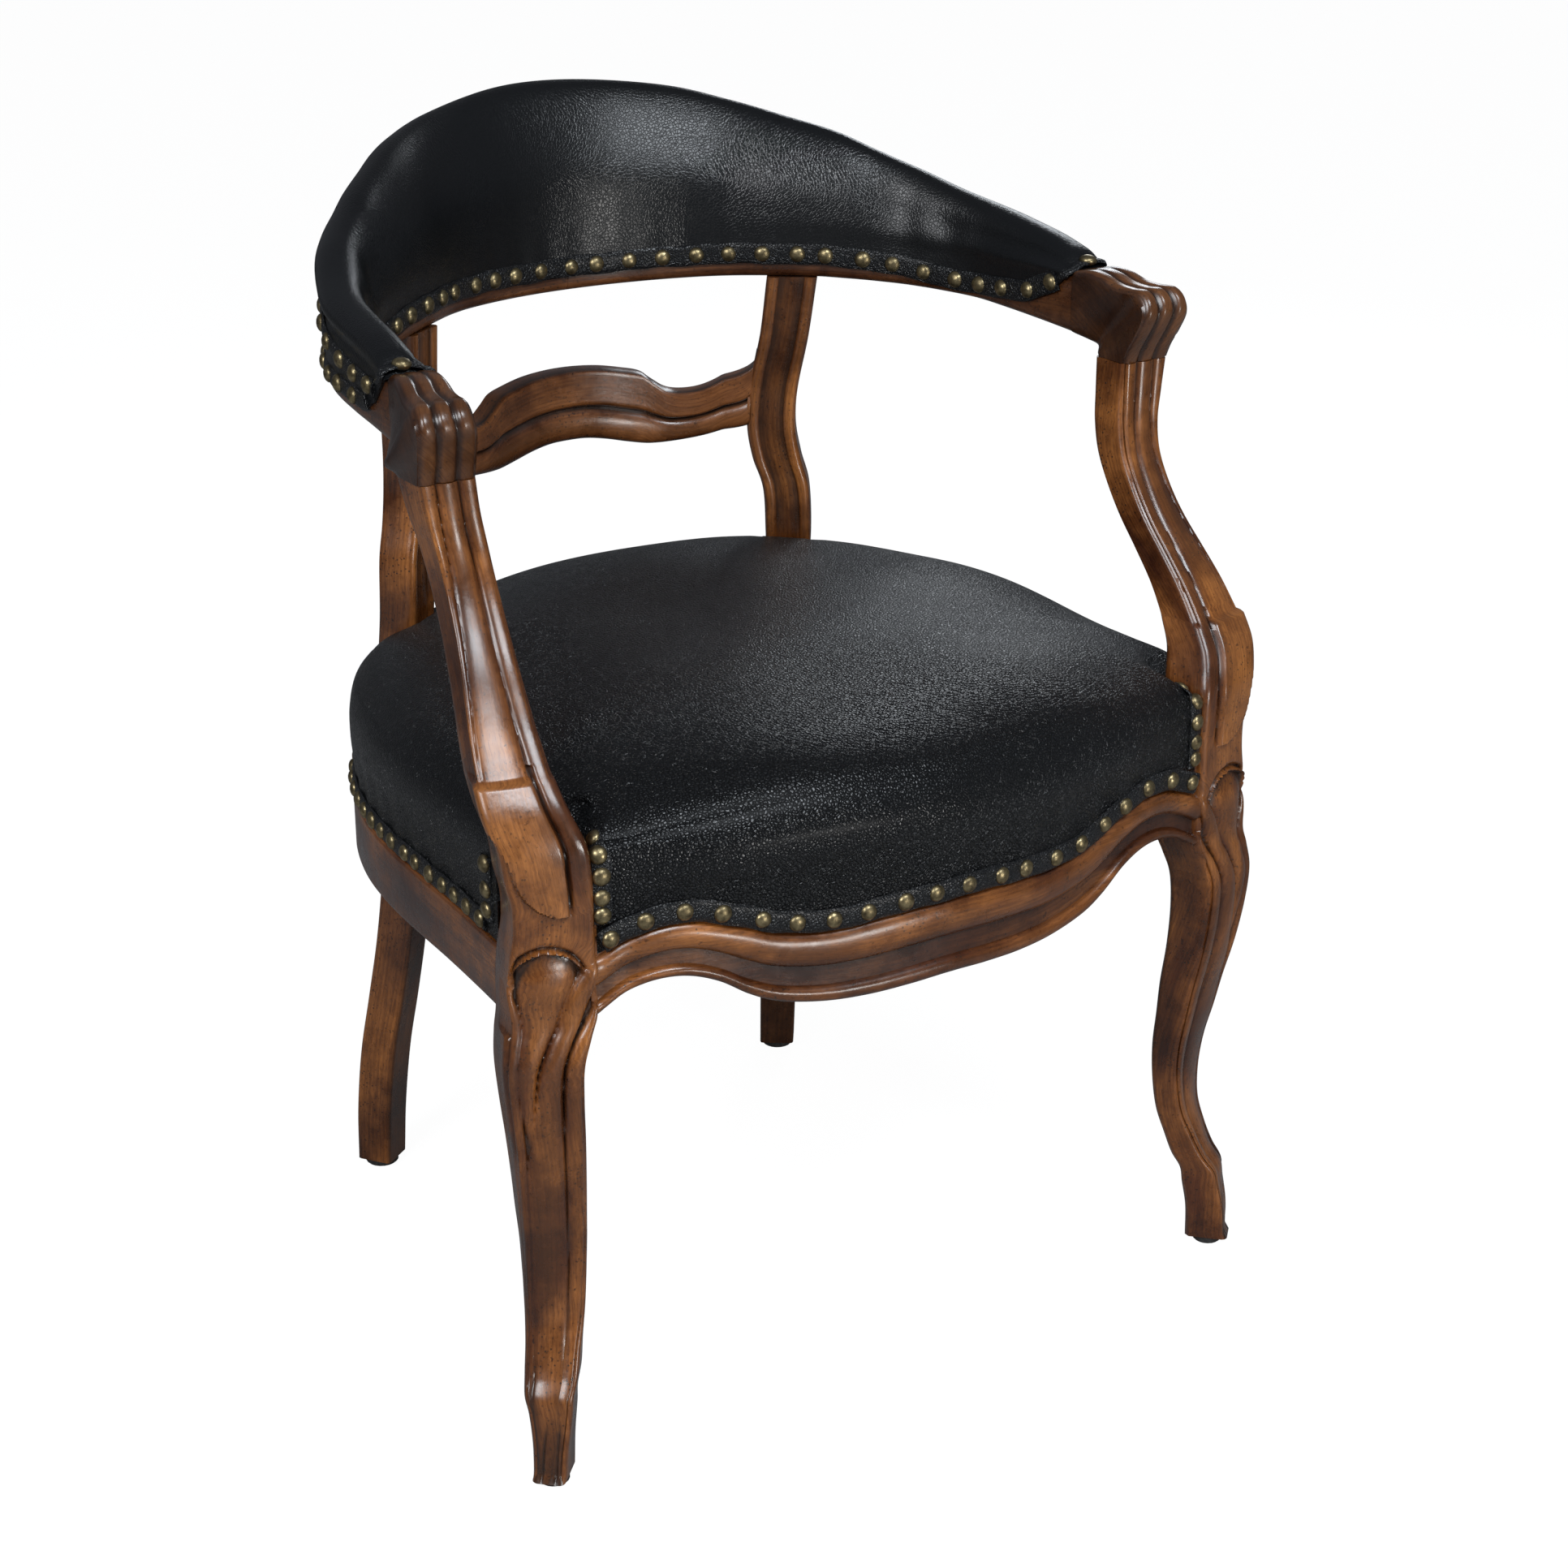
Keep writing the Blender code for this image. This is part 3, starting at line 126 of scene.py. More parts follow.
floor_corners = [(sx * FLOOR_HALF, sy * FLOOR_HALF, 0) for sx, sy in ((-1, -1), (1, -1), (1, 1), (-1, 1))]
floor_mesh = bpy.data.meshes.new("floor")
floor_mesh.from_pydata(floor_corners, [], [(0, 1, 2, 3)])
floor = bpy.data.objects.new("floor", floor_mesh)
scene.collection.objects.link(floor)
floor_material, tree, shader, _ = start_material("pale_floor")
# To the camera the floor is mostly plain white, and keeps part of the shadow
camera_ray = node(tree, "ShaderNodeLightPath").outputs["Is Camera Ray"]
tone = node(tree, "ShaderNodeMix", {"Factor": camera_ray, "A": FLOOR_GREY, "B": FLOOR_PALE}, data_type="RGBA")
feed(tree, shader, {"Roughness": 0.9, "Base Color": tone.outputs["Result"]})
white = node(tree, "ShaderNodeEmission", {"Strength": FLOOR_WHITE_STRENGTH})
white_share = calculate(tree, "MULTIPLY", camera_ray, FLOOR_WHITE_SHARE)
seen_floor = node(tree, "ShaderNodeMixShader", {0: white_share, 1: shader.outputs[0], 2: white.outputs[0]})
feed(tree, tree.nodes["Material Output"], {"Surface": seen_floor.outputs[0]})
floor_mesh.materials.append(floor_material)


# %% Lamps
def lamp(name, place, aim, size, power, colour):
    data = bpy.data.lights.new(name, "AREA")
    data.shape = "RECTANGLE"
    data.size = size[0]
    data.size_y = size[1]
    data.energy = power
    data.color = colour
    item = bpy.data.objects.new(name, data)
    scene.collection.objects.link(item)
    item.location = place
    item.rotation_euler = (Vector(aim) - Vector(place)).to_track_quat("-Z", "Y").to_euler()
    return item


lamp("window", (-2.5, -1.2, 2.1), (0.0, 0.0, 0.40), (1.1, 1.1), 50.0, (0.95, 0.97, 1.0))
lamp("skylight", (-0.1, -1.9, 2.5), (0.0, 0.0, 0.40), (1.2, 0.7), 44.0, (0.88, 0.94, 1.0))
lamp("front_fill", (0.40, -2.75, 0.48), (0.0, 0.0, 0.40), (0.6, 0.45), 18.0, (1.0, 0.98, 0.95))
lamp("back_window", (2.0, 1.9, 1.5), (0.0, 0.0, 0.6), (0.8, 0.7), 8.0, (0.90, 0.95, 1.0))

# %% [markdown]
# Small tools. A carved bar is a stack of rings, so one function skins rings into a closed
# mesh. It also stores a map along the piece, for wood grain that follows a curved leg, and
# how deep each point lies in the carving, for the dark polish and painted shade in grooves.

# %% Curves and skins
def portion(value, start, span):
    """How far value has gone from start over span, kept within 0 and 1."""
    return np.clip((value - start) / span, 0.0, 1.0)


def bell(value, centre, width):
    return np.exp(-((value - centre) / width) ** 2)


def half_round(value, centre, half):
    return np.sqrt(np.clip(1 - ((value - centre) / half) ** 2, 0, 1))


def smooth_step(t):
    return t * t * (3 - 2 * t)


def unit(vectors):
    return vectors / np.maximum(np.linalg.norm(vectors, axis=-1, keepdims=True), 1e-9)


def run_of(points):
    """Distance along a line from its first point, at each of its points."""
    return np.concatenate([[0.0], np.cumsum(np.linalg.norm(np.diff(points, axis=0), axis=1))])


def mirrored(rows):
    """Table of the right half, middle first, as a table of the whole from left to right."""
    return np.array([(-row[0],) + row[1:] for row in rows[:0:-1]] + rows)


def smooth_rows(rows, count):
    """Catmull-Rom curve through rows, at evenly spread parameters."""
    rows = np.array(rows, float)
    padded = np.vstack([2 * rows[0] - rows[1], rows, 2 * rows[-1] - rows[-2]])
    t = np.linspace(0.0, len(rows) - 1.0, count)
    k = np.minimum(t.astype(int), len(rows) - 2)
    u = (t - k)[:, None]
    p0, p1, p2, p3 = padded[k], padded[k + 1], padded[k + 2], padded[k + 3]
    return 0.5 * (2 * p1 + (p2 - p0) * u + (2 * p0 - 5 * p1 + 4 * p2 - p3) * u ** 2
                  + (3 * p1 - p0 - 3 * p2 + p3) * u ** 3)


def by_first(rows, values):
    """Smooth table lookup by the first column; returns the other columns."""
    fine = smooth_rows(rows, 12 * len(rows))
    fine = fine[np.argsort(fine[:, 0])]
    return np.stack([np.interp(values, fine[:, 0], column) for column in fine.T[1:]], axis=1)


def skin(name, grid, material, carve=None, sharp=50):
    """Closed mesh from a grid of rings with shape (rings, points, 3), capped at both ends."""
    grid = np.array(grid, float)
    grid[:, :, 1] += DEPTH_SHIFT
    rings, points = grid.shape[:2]
    verts = grid.reshape(-1, 3)
    i, k = np.meshgrid(np.arange(rings - 1), np.arange(points), indexing="ij")
    n = (k + 1) % points
    quads = np.stack([i * points + k, i * points + n, (i + 1) * points + n, (i + 1) * points + k], -1)
    quads = quads.reshape(-1, 4)
    faces = quads.tolist()
    faces.append(list(range(points))[::-1])
    faces.append(list(range((rings - 1) * points, rings * points)))
    # The map runs along the piece in u and around it in v, both in metres
    step = np.linalg.norm(np.diff(grid, axis=0), axis=2).mean(axis=1)
    run = np.concatenate([[0.0], np.cumsum(step)])
    loop = np.concatenate([grid, grid[:, :1]], axis=1)
    around = np.cumsum(np.linalg.norm(np.diff(loop, axis=1), axis=2), axis=1)
    around = np.concatenate([np.zeros((rings, 1)), around], axis=1)
    around -= around[:, -1:] / 2
    u = np.stack([run[i], run[i], run[i + 1], run[i + 1]], -1).reshape(-1)
    v = np.stack([around[i, k], around[i, k + 1], around[i + 1, k + 1], around[i + 1, k]], -1).reshape(-1)
    first_cap = np.stack([np.full(points, run[0]), around[0, :points]], -1)[::-1]
    last_cap = np.stack([np.full(points, run[-1]), around[-1, :points]], -1)
    uv = np.vstack([np.stack([u, v], -1), first_cap, last_cap])
    # Where the volume comes out negative the faces look inwards, and all are turned over
    a, b, c, d = (verts[quads[:, j]] - verts.mean(axis=0) for j in range(4))
    if np.einsum("ij,ij->", a, np.cross(b, c) + np.cross(c, d)) < 0:
        ends = np.cumsum([len(face) for face in faces])
        uv = np.concatenate([uv[end - len(face):end][::-1] for face, end in zip(faces, ends)])
        faces = [face[::-1] for face in faces]
    mesh = bpy.data.meshes.new(name)
    mesh.from_pydata(verts.tolist(), [], faces)
    mesh.uv_layers.new(name="along").data.foreach_set("uv", uv.reshape(-1).astype(np.float32))
    depth = np.zeros(len(verts)) if carve is None else np.asarray(carve).reshape(-1)
    mesh.attributes.new("carve", "FLOAT", "POINT").data.foreach_set("value", depth.astype(np.float32))
    mesh.shade_smooth()
    mesh.set_sharp_from_angle(angle=math.radians(sharp))
    mesh.materials.append(material)
    piece = bpy.data.objects.new(name, mesh)
    scene.collection.objects.link(piece)
    return piece


def both_sides(name, grid, material, slot, solid, **more):
    """The piece and its mirror image, each standing for its own solid."""
    grid = np.array(grid, float)
    for side, sign in (("right", 1.0), ("left", -1.0)):
        piece = skin(name + "_" + side, grid * np.array([sign, 1.0, 1.0]), material, **more)
        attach(piece, "root")
        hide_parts(solid + "_" + side)
    print(name, len(piece.data.vertices), "points each")


# %% [markdown]
# Finishes. Old walnut is honey brown where hands have worn it and nearly black in the grooves.
# Streaks run along each piece on its own map, and the stored carving depth mixes in dark polish
# and painted shade in the grooves, and paler ridges that are partly a painted highlight.
# Leather gets a pebble grain from cells; brass gets a dull skin with rubbed tops.

# %% Node helpers
def ramp(tree, source, stops):
    """Colour ramp fed by a socket; stops are (position, colour)."""
    item = node(tree, "ShaderNodeValToRGB", {"Fac": source})
    while len(item.color_ramp.elements) < len(stops):
        item.color_ramp.elements.new(0.5)
    for element, (place, colour) in zip(item.color_ramp.elements, stops):
        element.position = place
        element.color = (*colour, 1.0)
    return item.outputs["Color"]


def grey(value):
    return (value, value, value)


def grey_ramp(tree, source, *stops):
    return ramp(tree, source, [(place, grey(value)) for place, value in stops])


def blend(tree, mode, factor, first, second):
    """Mix two colours; factor is a number or a socket, a colour may be a socket too."""
    first, second = (c if isinstance(c, bpy.types.NodeSocket) else (*c, 1.0) for c in (first, second))
    values = {0: factor, 6: first, 7: second}
    return node(tree, "ShaderNodeMix", values, data_type="RGBA", blend_type=mode).outputs[2]


def bump(tree, height, strength, distance, before=None):
    values = {"Height": height, "Strength": strength, "Distance": distance}
    if before is not None:
        values["Normal"] = before
    return node(tree, "ShaderNodeBump", values).outputs["Normal"]


def noise(tree, vector, scale, detail=4.0, rough=0.55, distortion=0.0):
    values = {"Vector": vector, "Scale": scale, "Detail": detail, "Roughness": rough,
              "Distortion": distortion}
    return node(tree, "ShaderNodeTexNoise", values).outputs["Fac"]


def mapped(tree, source, scale, shift=(0.0, 0.0, 0.0)):
    values = {"Vector": source, "Scale": scale, "Location": shift}
    return node(tree, "ShaderNodeMapping", values).outputs["Vector"]


# %% Walnut
def walnut(name, pale, mid, dark, seed=0.0, dark_share=0.0):
    """Waxed walnut; dark_share adds old dirt all over, as on the hand holds."""
    material, tree, shader, coords = start_material(name)
    body = coords["Object"]
    place = mapped(tree, coords["UV"], (1.0, 1.0, 1.0), (seed, seed * 0.37, seed * 0.11))
    patches = noise(tree, mapped(tree, place, (9.0, 26.0, 1.0)), 1.0, 3.0, 0.5, 0.6)
    streaks = noise(tree, mapped(tree, place, (22.0, 420.0, 1.0)), 1.0, 6.0, 0.62, 0.4)
    pores = noise(tree, mapped(tree, place, (170.0, 2100.0, 1.0)), 1.0, 3.0, 0.5)
    wave = {"Vector": mapped(tree, place, (7.0, 95.0, 1.0)), "Scale": 1.0, "Distortion": 7.0,
            "Detail": 3.0, "Detail Scale": 1.4}
    flames = node(tree, "ShaderNodeTexWave", wave, wave_type="BANDS", bands_direction="Y").outputs["Fac"]
    stains = noise(tree, body, 17.0, 5.0, 0.65)
    specks = noise(tree, body, 330.0, 2.0, 0.5)
    base = blend(tree, "MIX", grey_ramp(tree, patches, (0.36, 0.0), (0.70, 1.0)), mid, pale)
    # Each pattern darkens the wood towards its shade where its value is low
    for pattern, strength, low, high, shade in (
            (streaks, 0.55, 0.32, 0.60, (0.30, 0.24, 0.20)), (flames, 0.35, 0.15, 0.60, (0.50, 0.42, 0.36)),
            (pores, 0.55, 0.36, 0.44, (0.20, 0.15, 0.12)), (stains, 0.75, 0.40, 0.58, (0.20, 0.12, 0.09)),
            (specks, 0.80, 0.27, 0.33, (0.16, 0.12, 0.10))):
        base = blend(tree, "MULTIPLY", strength, base, ramp(tree, pattern, [(low, shade), (high, grey(1.0))]))
    # Worm holes in loose groups
    holes = node(tree, "ShaderNodeTexVoronoi", {"Vector": body, "Scale": 300.0}).outputs["Distance"]
    groups = grey_ramp(tree, noise(tree, body, 26.0, 2.0, 0.5), (0.50, 0.0), (0.58, 0.9))
    pits = calculate(tree, "MULTIPLY", grey_ramp(tree, holes, (0.15, 1.0), (0.26, 0.0)), groups)
    base = blend(tree, "MIX", pits, base, (0.020, 0.010, 0.006))
    # Grooves painted dark, as dark polish and painted shade; ridges painted paler, as rubbing and painted
    # highlight
    depth = node(tree, "ShaderNodeAttribute", attribute_name="carve").outputs["Fac"]
    wobble = grey_ramp(tree, noise(tree, body, 60.0, 3.0, 0.6), (0.25, 0.75), (0.6, 1.0))
    sunk = calculate(tree, "MULTIPLY_ADD", depth, -1.0, dark_share)
    base = blend(tree, "MIX", calculate(tree, "MULTIPLY", sunk, wobble), base, dark)
    base = blend(tree, "SCREEN", calculate(tree, "MULTIPLY", depth, 0.55), base, (0.15, 0.062, 0.020))
    polish = grey_ramp(tree, noise(tree, body, 34.0, 4.0, 0.6), (0.3, 0.20), (0.7, 0.40))
    normal = bump(tree, noise(tree, body, 85.0, 3.0, 0.6), 0.25, 0.0012)
    normal = bump(tree, streaks, 0.16, 0.0004, normal)
    normal = bump(tree, pores, 0.20, 0.0002, normal)
    feed(tree, shader, {"Base Color": base, "Roughness": polish, "Normal": normal, "Specular IOR Level": 0.45,
                        "Coat Weight": 0.40, "Coat Roughness": 0.20})
    return material


WALNUT_PALE = (0.42, 0.152, 0.034)
WALNUT_MID = (0.105, 0.029, 0.0072)
# Near black of the dark polish and of the painted shade in the grooves
POLISH_AND_SHADE_DARK = (0.016, 0.008, 0.005)
wood_leg = walnut("walnut_legs", WALNUT_PALE, WALNUT_MID, POLISH_AND_SHADE_DARK, 0.3)
wood_rail = walnut("walnut_rails", WALNUT_PALE, WALNUT_MID, POLISH_AND_SHADE_DARK, 1.7)
wood_rear = walnut("walnut_rear_legs", WALNUT_PALE, (0.160, 0.054, 0.016), POLISH_AND_SHADE_DARK, 3.1, 0.06)
wood_slat = walnut("walnut_slat", (0.29, 0.105, 0.030), (0.150, 0.050, 0.015), POLISH_AND_SHADE_DARK, 4.2, 0.05)
wood_hand = walnut("walnut_hand_holds", (0.20, 0.078, 0.026), (0.085, 0.030, 0.011), POLISH_AND_SHADE_DARK, 5.5, 0.30)
wood_hoop = walnut("walnut_hoop", (0.26, 0.100, 0.032), (0.12, 0.042, 0.014), POLISH_AND_SHADE_DARK, 6.3, 0.12)


# %% Leather, brass and the hidden materials
def leather(name, colour, grain, wear, rough):
    """Black hide with a pebble grain of about 1.5 mm, polished where it is rubbed."""
    material, tree, shader, coords = start_material(name)
    place = coords["Object"]
    twist = node(tree, "ShaderNodeTexNoise", {"Vector": place, "Scale": 420.0, "Detail": 2.0})
    warping = {0: twist.outputs["Color"], 1: grey(0.0010), 2: place}
    warp = node(tree, "ShaderNodeVectorMath", warping, operation="MULTIPLY_ADD")
    cells = node(tree, "ShaderNodeTexVoronoi", {"Vector": warp.outputs[0], "Scale": 460.0},
                 feature="DISTANCE_TO_EDGE")
    pebble = grey_ramp(tree, cells.outputs["Distance"], (0.0, 0.0), (0.16, 0.85), (0.5, 1.0))
    fine = noise(tree, place, 2600.0, 2.0, 0.5)
    worn = noise(tree, place, 9.0, 2.0, 0.5)
    creases = noise(tree, mapped(tree, place, (1.0, 1.0, 2.2)), 30.0, 3.0, 0.5, 0.3)
    rubbed = grey_ramp(tree, worn, (0.25, 0.0), (0.85, wear))
    base = blend(tree, "MIX", rubbed, colour, (0.0085, 0.0095, 0.0110))
    base = blend(tree, "MULTIPLY", 0.55, base, grey_ramp(tree, pebble, (0.0, 0.35), (0.5, 1.0)))
    normal = bump(tree, creases, 0.10 + 0.12 * grain, 0.0016)
    normal = bump(tree, pebble, grain, 0.0011, normal)
    normal = bump(tree, fine, 0.15, 0.0001, normal)
    polish = grey_ramp(tree, worn, (0.25, rough + 0.07), (0.80, rough - 0.07))
    feed(tree, shader, {"Base Color": base, "Roughness": polish, "Normal": normal, "Specular IOR Level": 0.44,
                        "Coat Weight": 0.05, "Coat Roughness": 0.25})
    return material


hide_seat = leather("black_leather_seat", (0.0045, 0.0050, 0.0058), 1.0, 0.55, 0.30)
hide_back = leather("black_leather_back", (0.0035, 0.0040, 0.0047), 0.18, 0.40, 0.28)
hide_strip = leather("black_leather_strip", (0.0050, 0.0055, 0.0065), 0.6, 0.70, 0.32)


def brass(name):
    material, tree, shader, coords = start_material(name)
    tarnish = noise(tree, coords["Object"], 260.0, 4.0, 0.6)
    colour = ramp(tree, tarnish, [(0.30, (0.080, 0.062, 0.034)), (0.55, (0.27, 0.215, 0.115)),
                                  (0.80, (0.50, 0.41, 0.23))])
    dents = noise(tree, coords["Object"], 420.0, 3.0, 0.5)
    feed(tree, shader, {"Base Color": colour, "Metallic": 0.92, "Normal": bump(tree, dents, 0.35, 0.0004),
                        "Roughness": grey_ramp(tree, tarnish, (0.3, 0.46), (0.8, 0.26))})
    return material


brass_nail = brass("brass_nails")


def woven(name, pale, dark, pitch, rough):
    """Plain weave of two crossed sets of threads at the given pitch in metres."""
    material, tree, shader, coords = start_material(name)
    place = coords["Object"]
    checker = node(tree, "ShaderNodeTexChecker", {"Vector": place, "Scale": 1.0 / pitch})
    fibres = noise(tree, mapped(tree, place, (1.0, 1.0, 3.0)), 900.0, 4.0, 0.6)
    dirt = ramp(tree, noise(tree, place, 30.0, 4.0, 0.6), [(0.3, (0.5, 0.42, 0.34)), (0.7, grey(1.0))])
    base = blend(tree, "MIX", grey_ramp(tree, fibres, (0.3, 0.0), (0.7, 1.0)), dark, pale)
    base = blend(tree, "MULTIPLY", 0.4, base, dirt)
    base = blend(tree, "MULTIPLY", 0.35, base, checker.outputs["Color"])
    normal = bump(tree, checker.outputs["Fac"], 0.6, 0.0006)
    normal = bump(tree, fibres, 0.5, 0.0004, normal)
    feed(tree, shader, {"Base Color": base, "Roughness": rough, "Normal": normal})
    return material


jute = woven("jute_strap", (0.46, 0.34, 0.20), (0.22, 0.15, 0.08), 0.0030, 0.92)
hessian = woven("hessian", (0.50, 0.39, 0.25), (0.26, 0.19, 0.11), 0.0016, 0.95)


def plain(name, pale, dark, scale, rough, metal=0.0, grain=(1.0, 1.0, 1.0)):
    """Mottled plain material for pieces that are seen from below only."""
    material, tree, shader, coords = start_material(name)
    spread = noise(tree, mapped(tree, coords["Object"], grain), scale, 5.0, 0.6)
    feed(tree, shader, {"Base Color": ramp(tree, spread, [(0.3, dark), (0.7, pale)]), "Metallic": metal,
                        "Roughness": grey_ramp(tree, spread, (0.3, min(1.0, rough + 0.12)), (0.7, rough)),
                        "Normal": bump(tree, spread, 0.3, 0.0004)})
    return material


block_wood = plain("bare_beech", (0.50, 0.34, 0.19), (0.30, 0.18, 0.09), 30.0, 0.7, 0.0, (1.0, 1.0, 9.0))
steel = plain("spring_steel", (0.42, 0.42, 0.43), (0.17, 0.13, 0.10), 160.0, 0.38, 1.0)
glide_rubber = plain("glide_rubber", (0.035, 0.033, 0.031), (0.012, 0.011, 0.010), 300.0, 0.6)
print("materials:", len(bpy.data.materials))

# %% [markdown]
# Front legs. Each leg and its arm post are one curved bar. The carving is drawn as lines on
# its unrolled surface: every bead is a line with a width and a height, and the wood rises as
# a rounded ridge near that line. Where two beads meet, a sharp dark groove is left.

# %% Shape of the front leg
# height, inner front corner x and y, turn outwards in degrees, width of the face, depth
FRONT_LEG = [
    (0.0053, 0.2790, -0.2910, 44, 0.0220, 0.0310), (0.0300, 0.2760, -0.2910, 41, 0.0240, 0.0300),
    (0.0500, 0.2715, -0.2890, 39, 0.0285, 0.0290), (0.0620, 0.2690, -0.2870, 38, 0.0320, 0.0280),
    (0.0740, 0.2620, -0.2815, 37, 0.0350, 0.0260), (0.0900, 0.2560, -0.2755, 35, 0.0360, 0.0240),
    (0.1100, 0.2490, -0.2700, 31, 0.0385, 0.0225), (0.1350, 0.2450, -0.2675, 26, 0.0405, 0.0225),
    (0.1600, 0.2440, -0.2685, 22, 0.0415, 0.0245), (0.1850, 0.2450, -0.2720, 19, 0.0430, 0.0270),
    (0.2100, 0.2465, -0.2760, 18, 0.0445, 0.0300), (0.2400, 0.2490, -0.2815, 17, 0.0465, 0.0330),
    (0.2700, 0.2510, -0.2850, 17, 0.0490, 0.0360), (0.2950, 0.2505, -0.2860, 17, 0.0515, 0.0385),
    (0.3130, 0.2450, -0.2850, 17, 0.0550, 0.0400), (0.3270, 0.2400, -0.2835, 17, 0.0570, 0.0400),
    (0.3500, 0.2395, -0.2825, 16, 0.0560, 0.0400), (0.3700, 0.2395, -0.2820, 16, 0.0540, 0.0400),
    (0.3860, 0.2395, -0.2816, 16, 0.0510, 0.0400), (0.4040, 0.2395, -0.2812, 16, 0.0510, 0.0400),
    (0.4200, 0.2400, -0.2810, 16, 0.0540, 0.0395), (0.4400, 0.2420, -0.2790, 16, 0.0545, 0.0380),
    (0.4600, 0.2480, -0.2700, 15, 0.0520, 0.0365), (0.4750, 0.2500, -0.2590, 13, 0.0490, 0.0355),
    (0.4820, 0.2505, -0.2530, 12, 0.0470, 0.0345), (0.5000, 0.2500, -0.2390, 11, 0.0435, 0.0330),
    (0.5200, 0.2480, -0.2220, 10, 0.0400, 0.0320), (0.5400, 0.2455, -0.2050, 9, 0.0375, 0.0310),
    (0.5600, 0.2440, -0.1910, 8, 0.0360, 0.0305), (0.5800, 0.2435, -0.1800, 7, 0.0355, 0.0305),
    (0.6000, 0.2445, -0.1735, 6, 0.0365, 0.0305), (0.6200, 0.2465, -0.1700, 4, 0.0385, 0.0310),
    (0.6420, 0.2480, -0.1680, 2, 0.0405, 0.0320),
]
LEG_RINGS = 520
FACE_POINTS = 50
OUTER_POINTS = 22
leg_z = np.linspace(FRONT_LEG[0][0], FRONT_LEG[-1][0], LEG_RINGS)
leg_rows = by_first(FRONT_LEG, leg_z)
# Raised beads in millimetres: distance from the inner edge, height, half width, rise
INNER_BEAD = [(6.0, 10, 3.0, 0.3), (5.5, 60, 4.5, 1.2), (5.5, 90, 5.2, 1.8), (5.5, 130, 5.6, 2.2),
              (6.4, 180, 6.3, 2.8), (7.0, 245, 6.8, 3.0), (6.8, 292, 6.6, 3.0), (5.6, 310, 6.4, 3.0),
              (1.6, 324, 6.2, 3.0), (-6.0, 334, 6.0, 3.0), (-16.0, 340, 6.0, 3.0)]
MAIN_BEAD = [(13.0, 8, 3.0, 0.6), (16.0, 50, 8.0, 1.2), (20.0, 90, 10.0, 2.4), (23.5, 130, 12.0, 3.0),
             (26.0, 180, 13.0, 3.4), (26.5, 225, 12.0, 3.6), (24.6, 250, 10.2, 3.8), (22.6, 285, 8.4, 4.0),
             (21.2, 305, 7.8, 4.2), (18.0, 326, 7.6, 4.2), (12.0, 342, 7.6, 4.2), (3.0, 354.5, 7.6, 4.2),
             (-6.0, 360.5, 7.6, 4.2), (-18.0, 364, 7.6, 4.2)]
OUTER_BEAD = [(31.0, 60, 3.0, 0.6), (33.0, 90, 4.0, 1.6), (38.0, 130, 4.5, 2.0), (41.5, 180, 4.8, 2.2),
              (44.0, 245, 5.4, 2.4), (47.6, 300, 5.4, 2.8), (51.5, 325, 5.4, 3.0), (57.0, 342, 5.6, 3.0),
              (67.0, 354, 5.8, 3.0), (80.0, 361, 6.0, 3.0)]
TONGUE = [(34.0, 236, 0.8, 0.4), (35.2, 256, 3.2, 1.8), (37.2, 285, 6.2, 3.2), (37.4, 310, 9.0, 3.8),
          (35.8, 335, 14.2, 4.2), (32.5, 352, 18.5, 4.2), (31.5, 362, 20.0, 3.8)]
POST_INNER = [(7.5, 392, 6.4, 2.2), (7.5, 425, 6.6, 2.6), (7.2, 452, 6.6, 3.0), (7.0, 480, 6.8, 3.2),
              (6.6, 505, 6.8, 3.3), (6.2, 560, 6.4, 3.4), (6.2, 600, 6.2, 3.4), (6.4, 650, 6.2, 3.5)]
POST_MIDDLE = [(30.0, 478, 15.5, 2.8), (27.5, 500, 14.0, 3.6), (24.0, 530, 11.0, 3.9), (21.5, 560, 9.2, 3.9),
               (20.4, 600, 7.4, 3.9), (20.4, 650, 7.0, 3.9)]
POST_OUTER = [(51.0, 470, 5.0, 2.0), (46.0, 500, 4.6, 2.8), (39.0, 530, 4.8, 3.0), (34.6, 560, 5.0, 3.0),
              (33.4, 600, 5.6, 3.2), (34.6, 650, 6.4, 3.4)]
# Lines on the same surface: the rim of the shell, the foot of the leaf and the groove beside it
SHELL_RIM = [(60.0, 352), (57.5, 359), (52.0, 366), (46.0, 370.5), (35.0, 374), (24.0, 372.5), (16.0, 368.5),
             (9.5, 361), (5.5, 353)]
LEAF_FOOT = [(13.5, 396.0), (16.5, 396.2), (26.0, 397.2), (36.0, 402.5), (44.0, 411.5), (49.0, 424.0),
             (54.0, 452.0)]
GROOVE_HEIGHTS = [396.0, 425.0, 452.0, 478.0, 500.0]
GROOVE_PLACES = [15.2, 15.8, 14.4, 13.6, 12.6]
SHELL_FROM, SHELL_TO = 5.5, 60.0
SHELL_FOOT = 352.0
SCOOP_LENGTH = 22.0
BAND_FROM = 384.0
LEAF_FROM = 396.0
POST_FROM = 470.0
LEAF_TO = 478.0
GROOVE_TO = 486.0
TOE_TO = 50.0
NO_WOOD = -9.0
FAR_AWAY = 9e9


def segments(s, z, line):
    """Each piece of a line, with the share along it and the distance of every point."""
    for a, b in zip(line[:-1], line[1:]):
        dx, dz = b[0] - a[0], b[1] - a[1]
        t = np.clip(((s - a[0]) * dx + (z - a[1]) * dz) / (dx * dx + dz * dz), 0.0, 1.0)
        yield a, b, t, np.hypot(s - a[0] - t * dx, z - a[1] - t * dz)


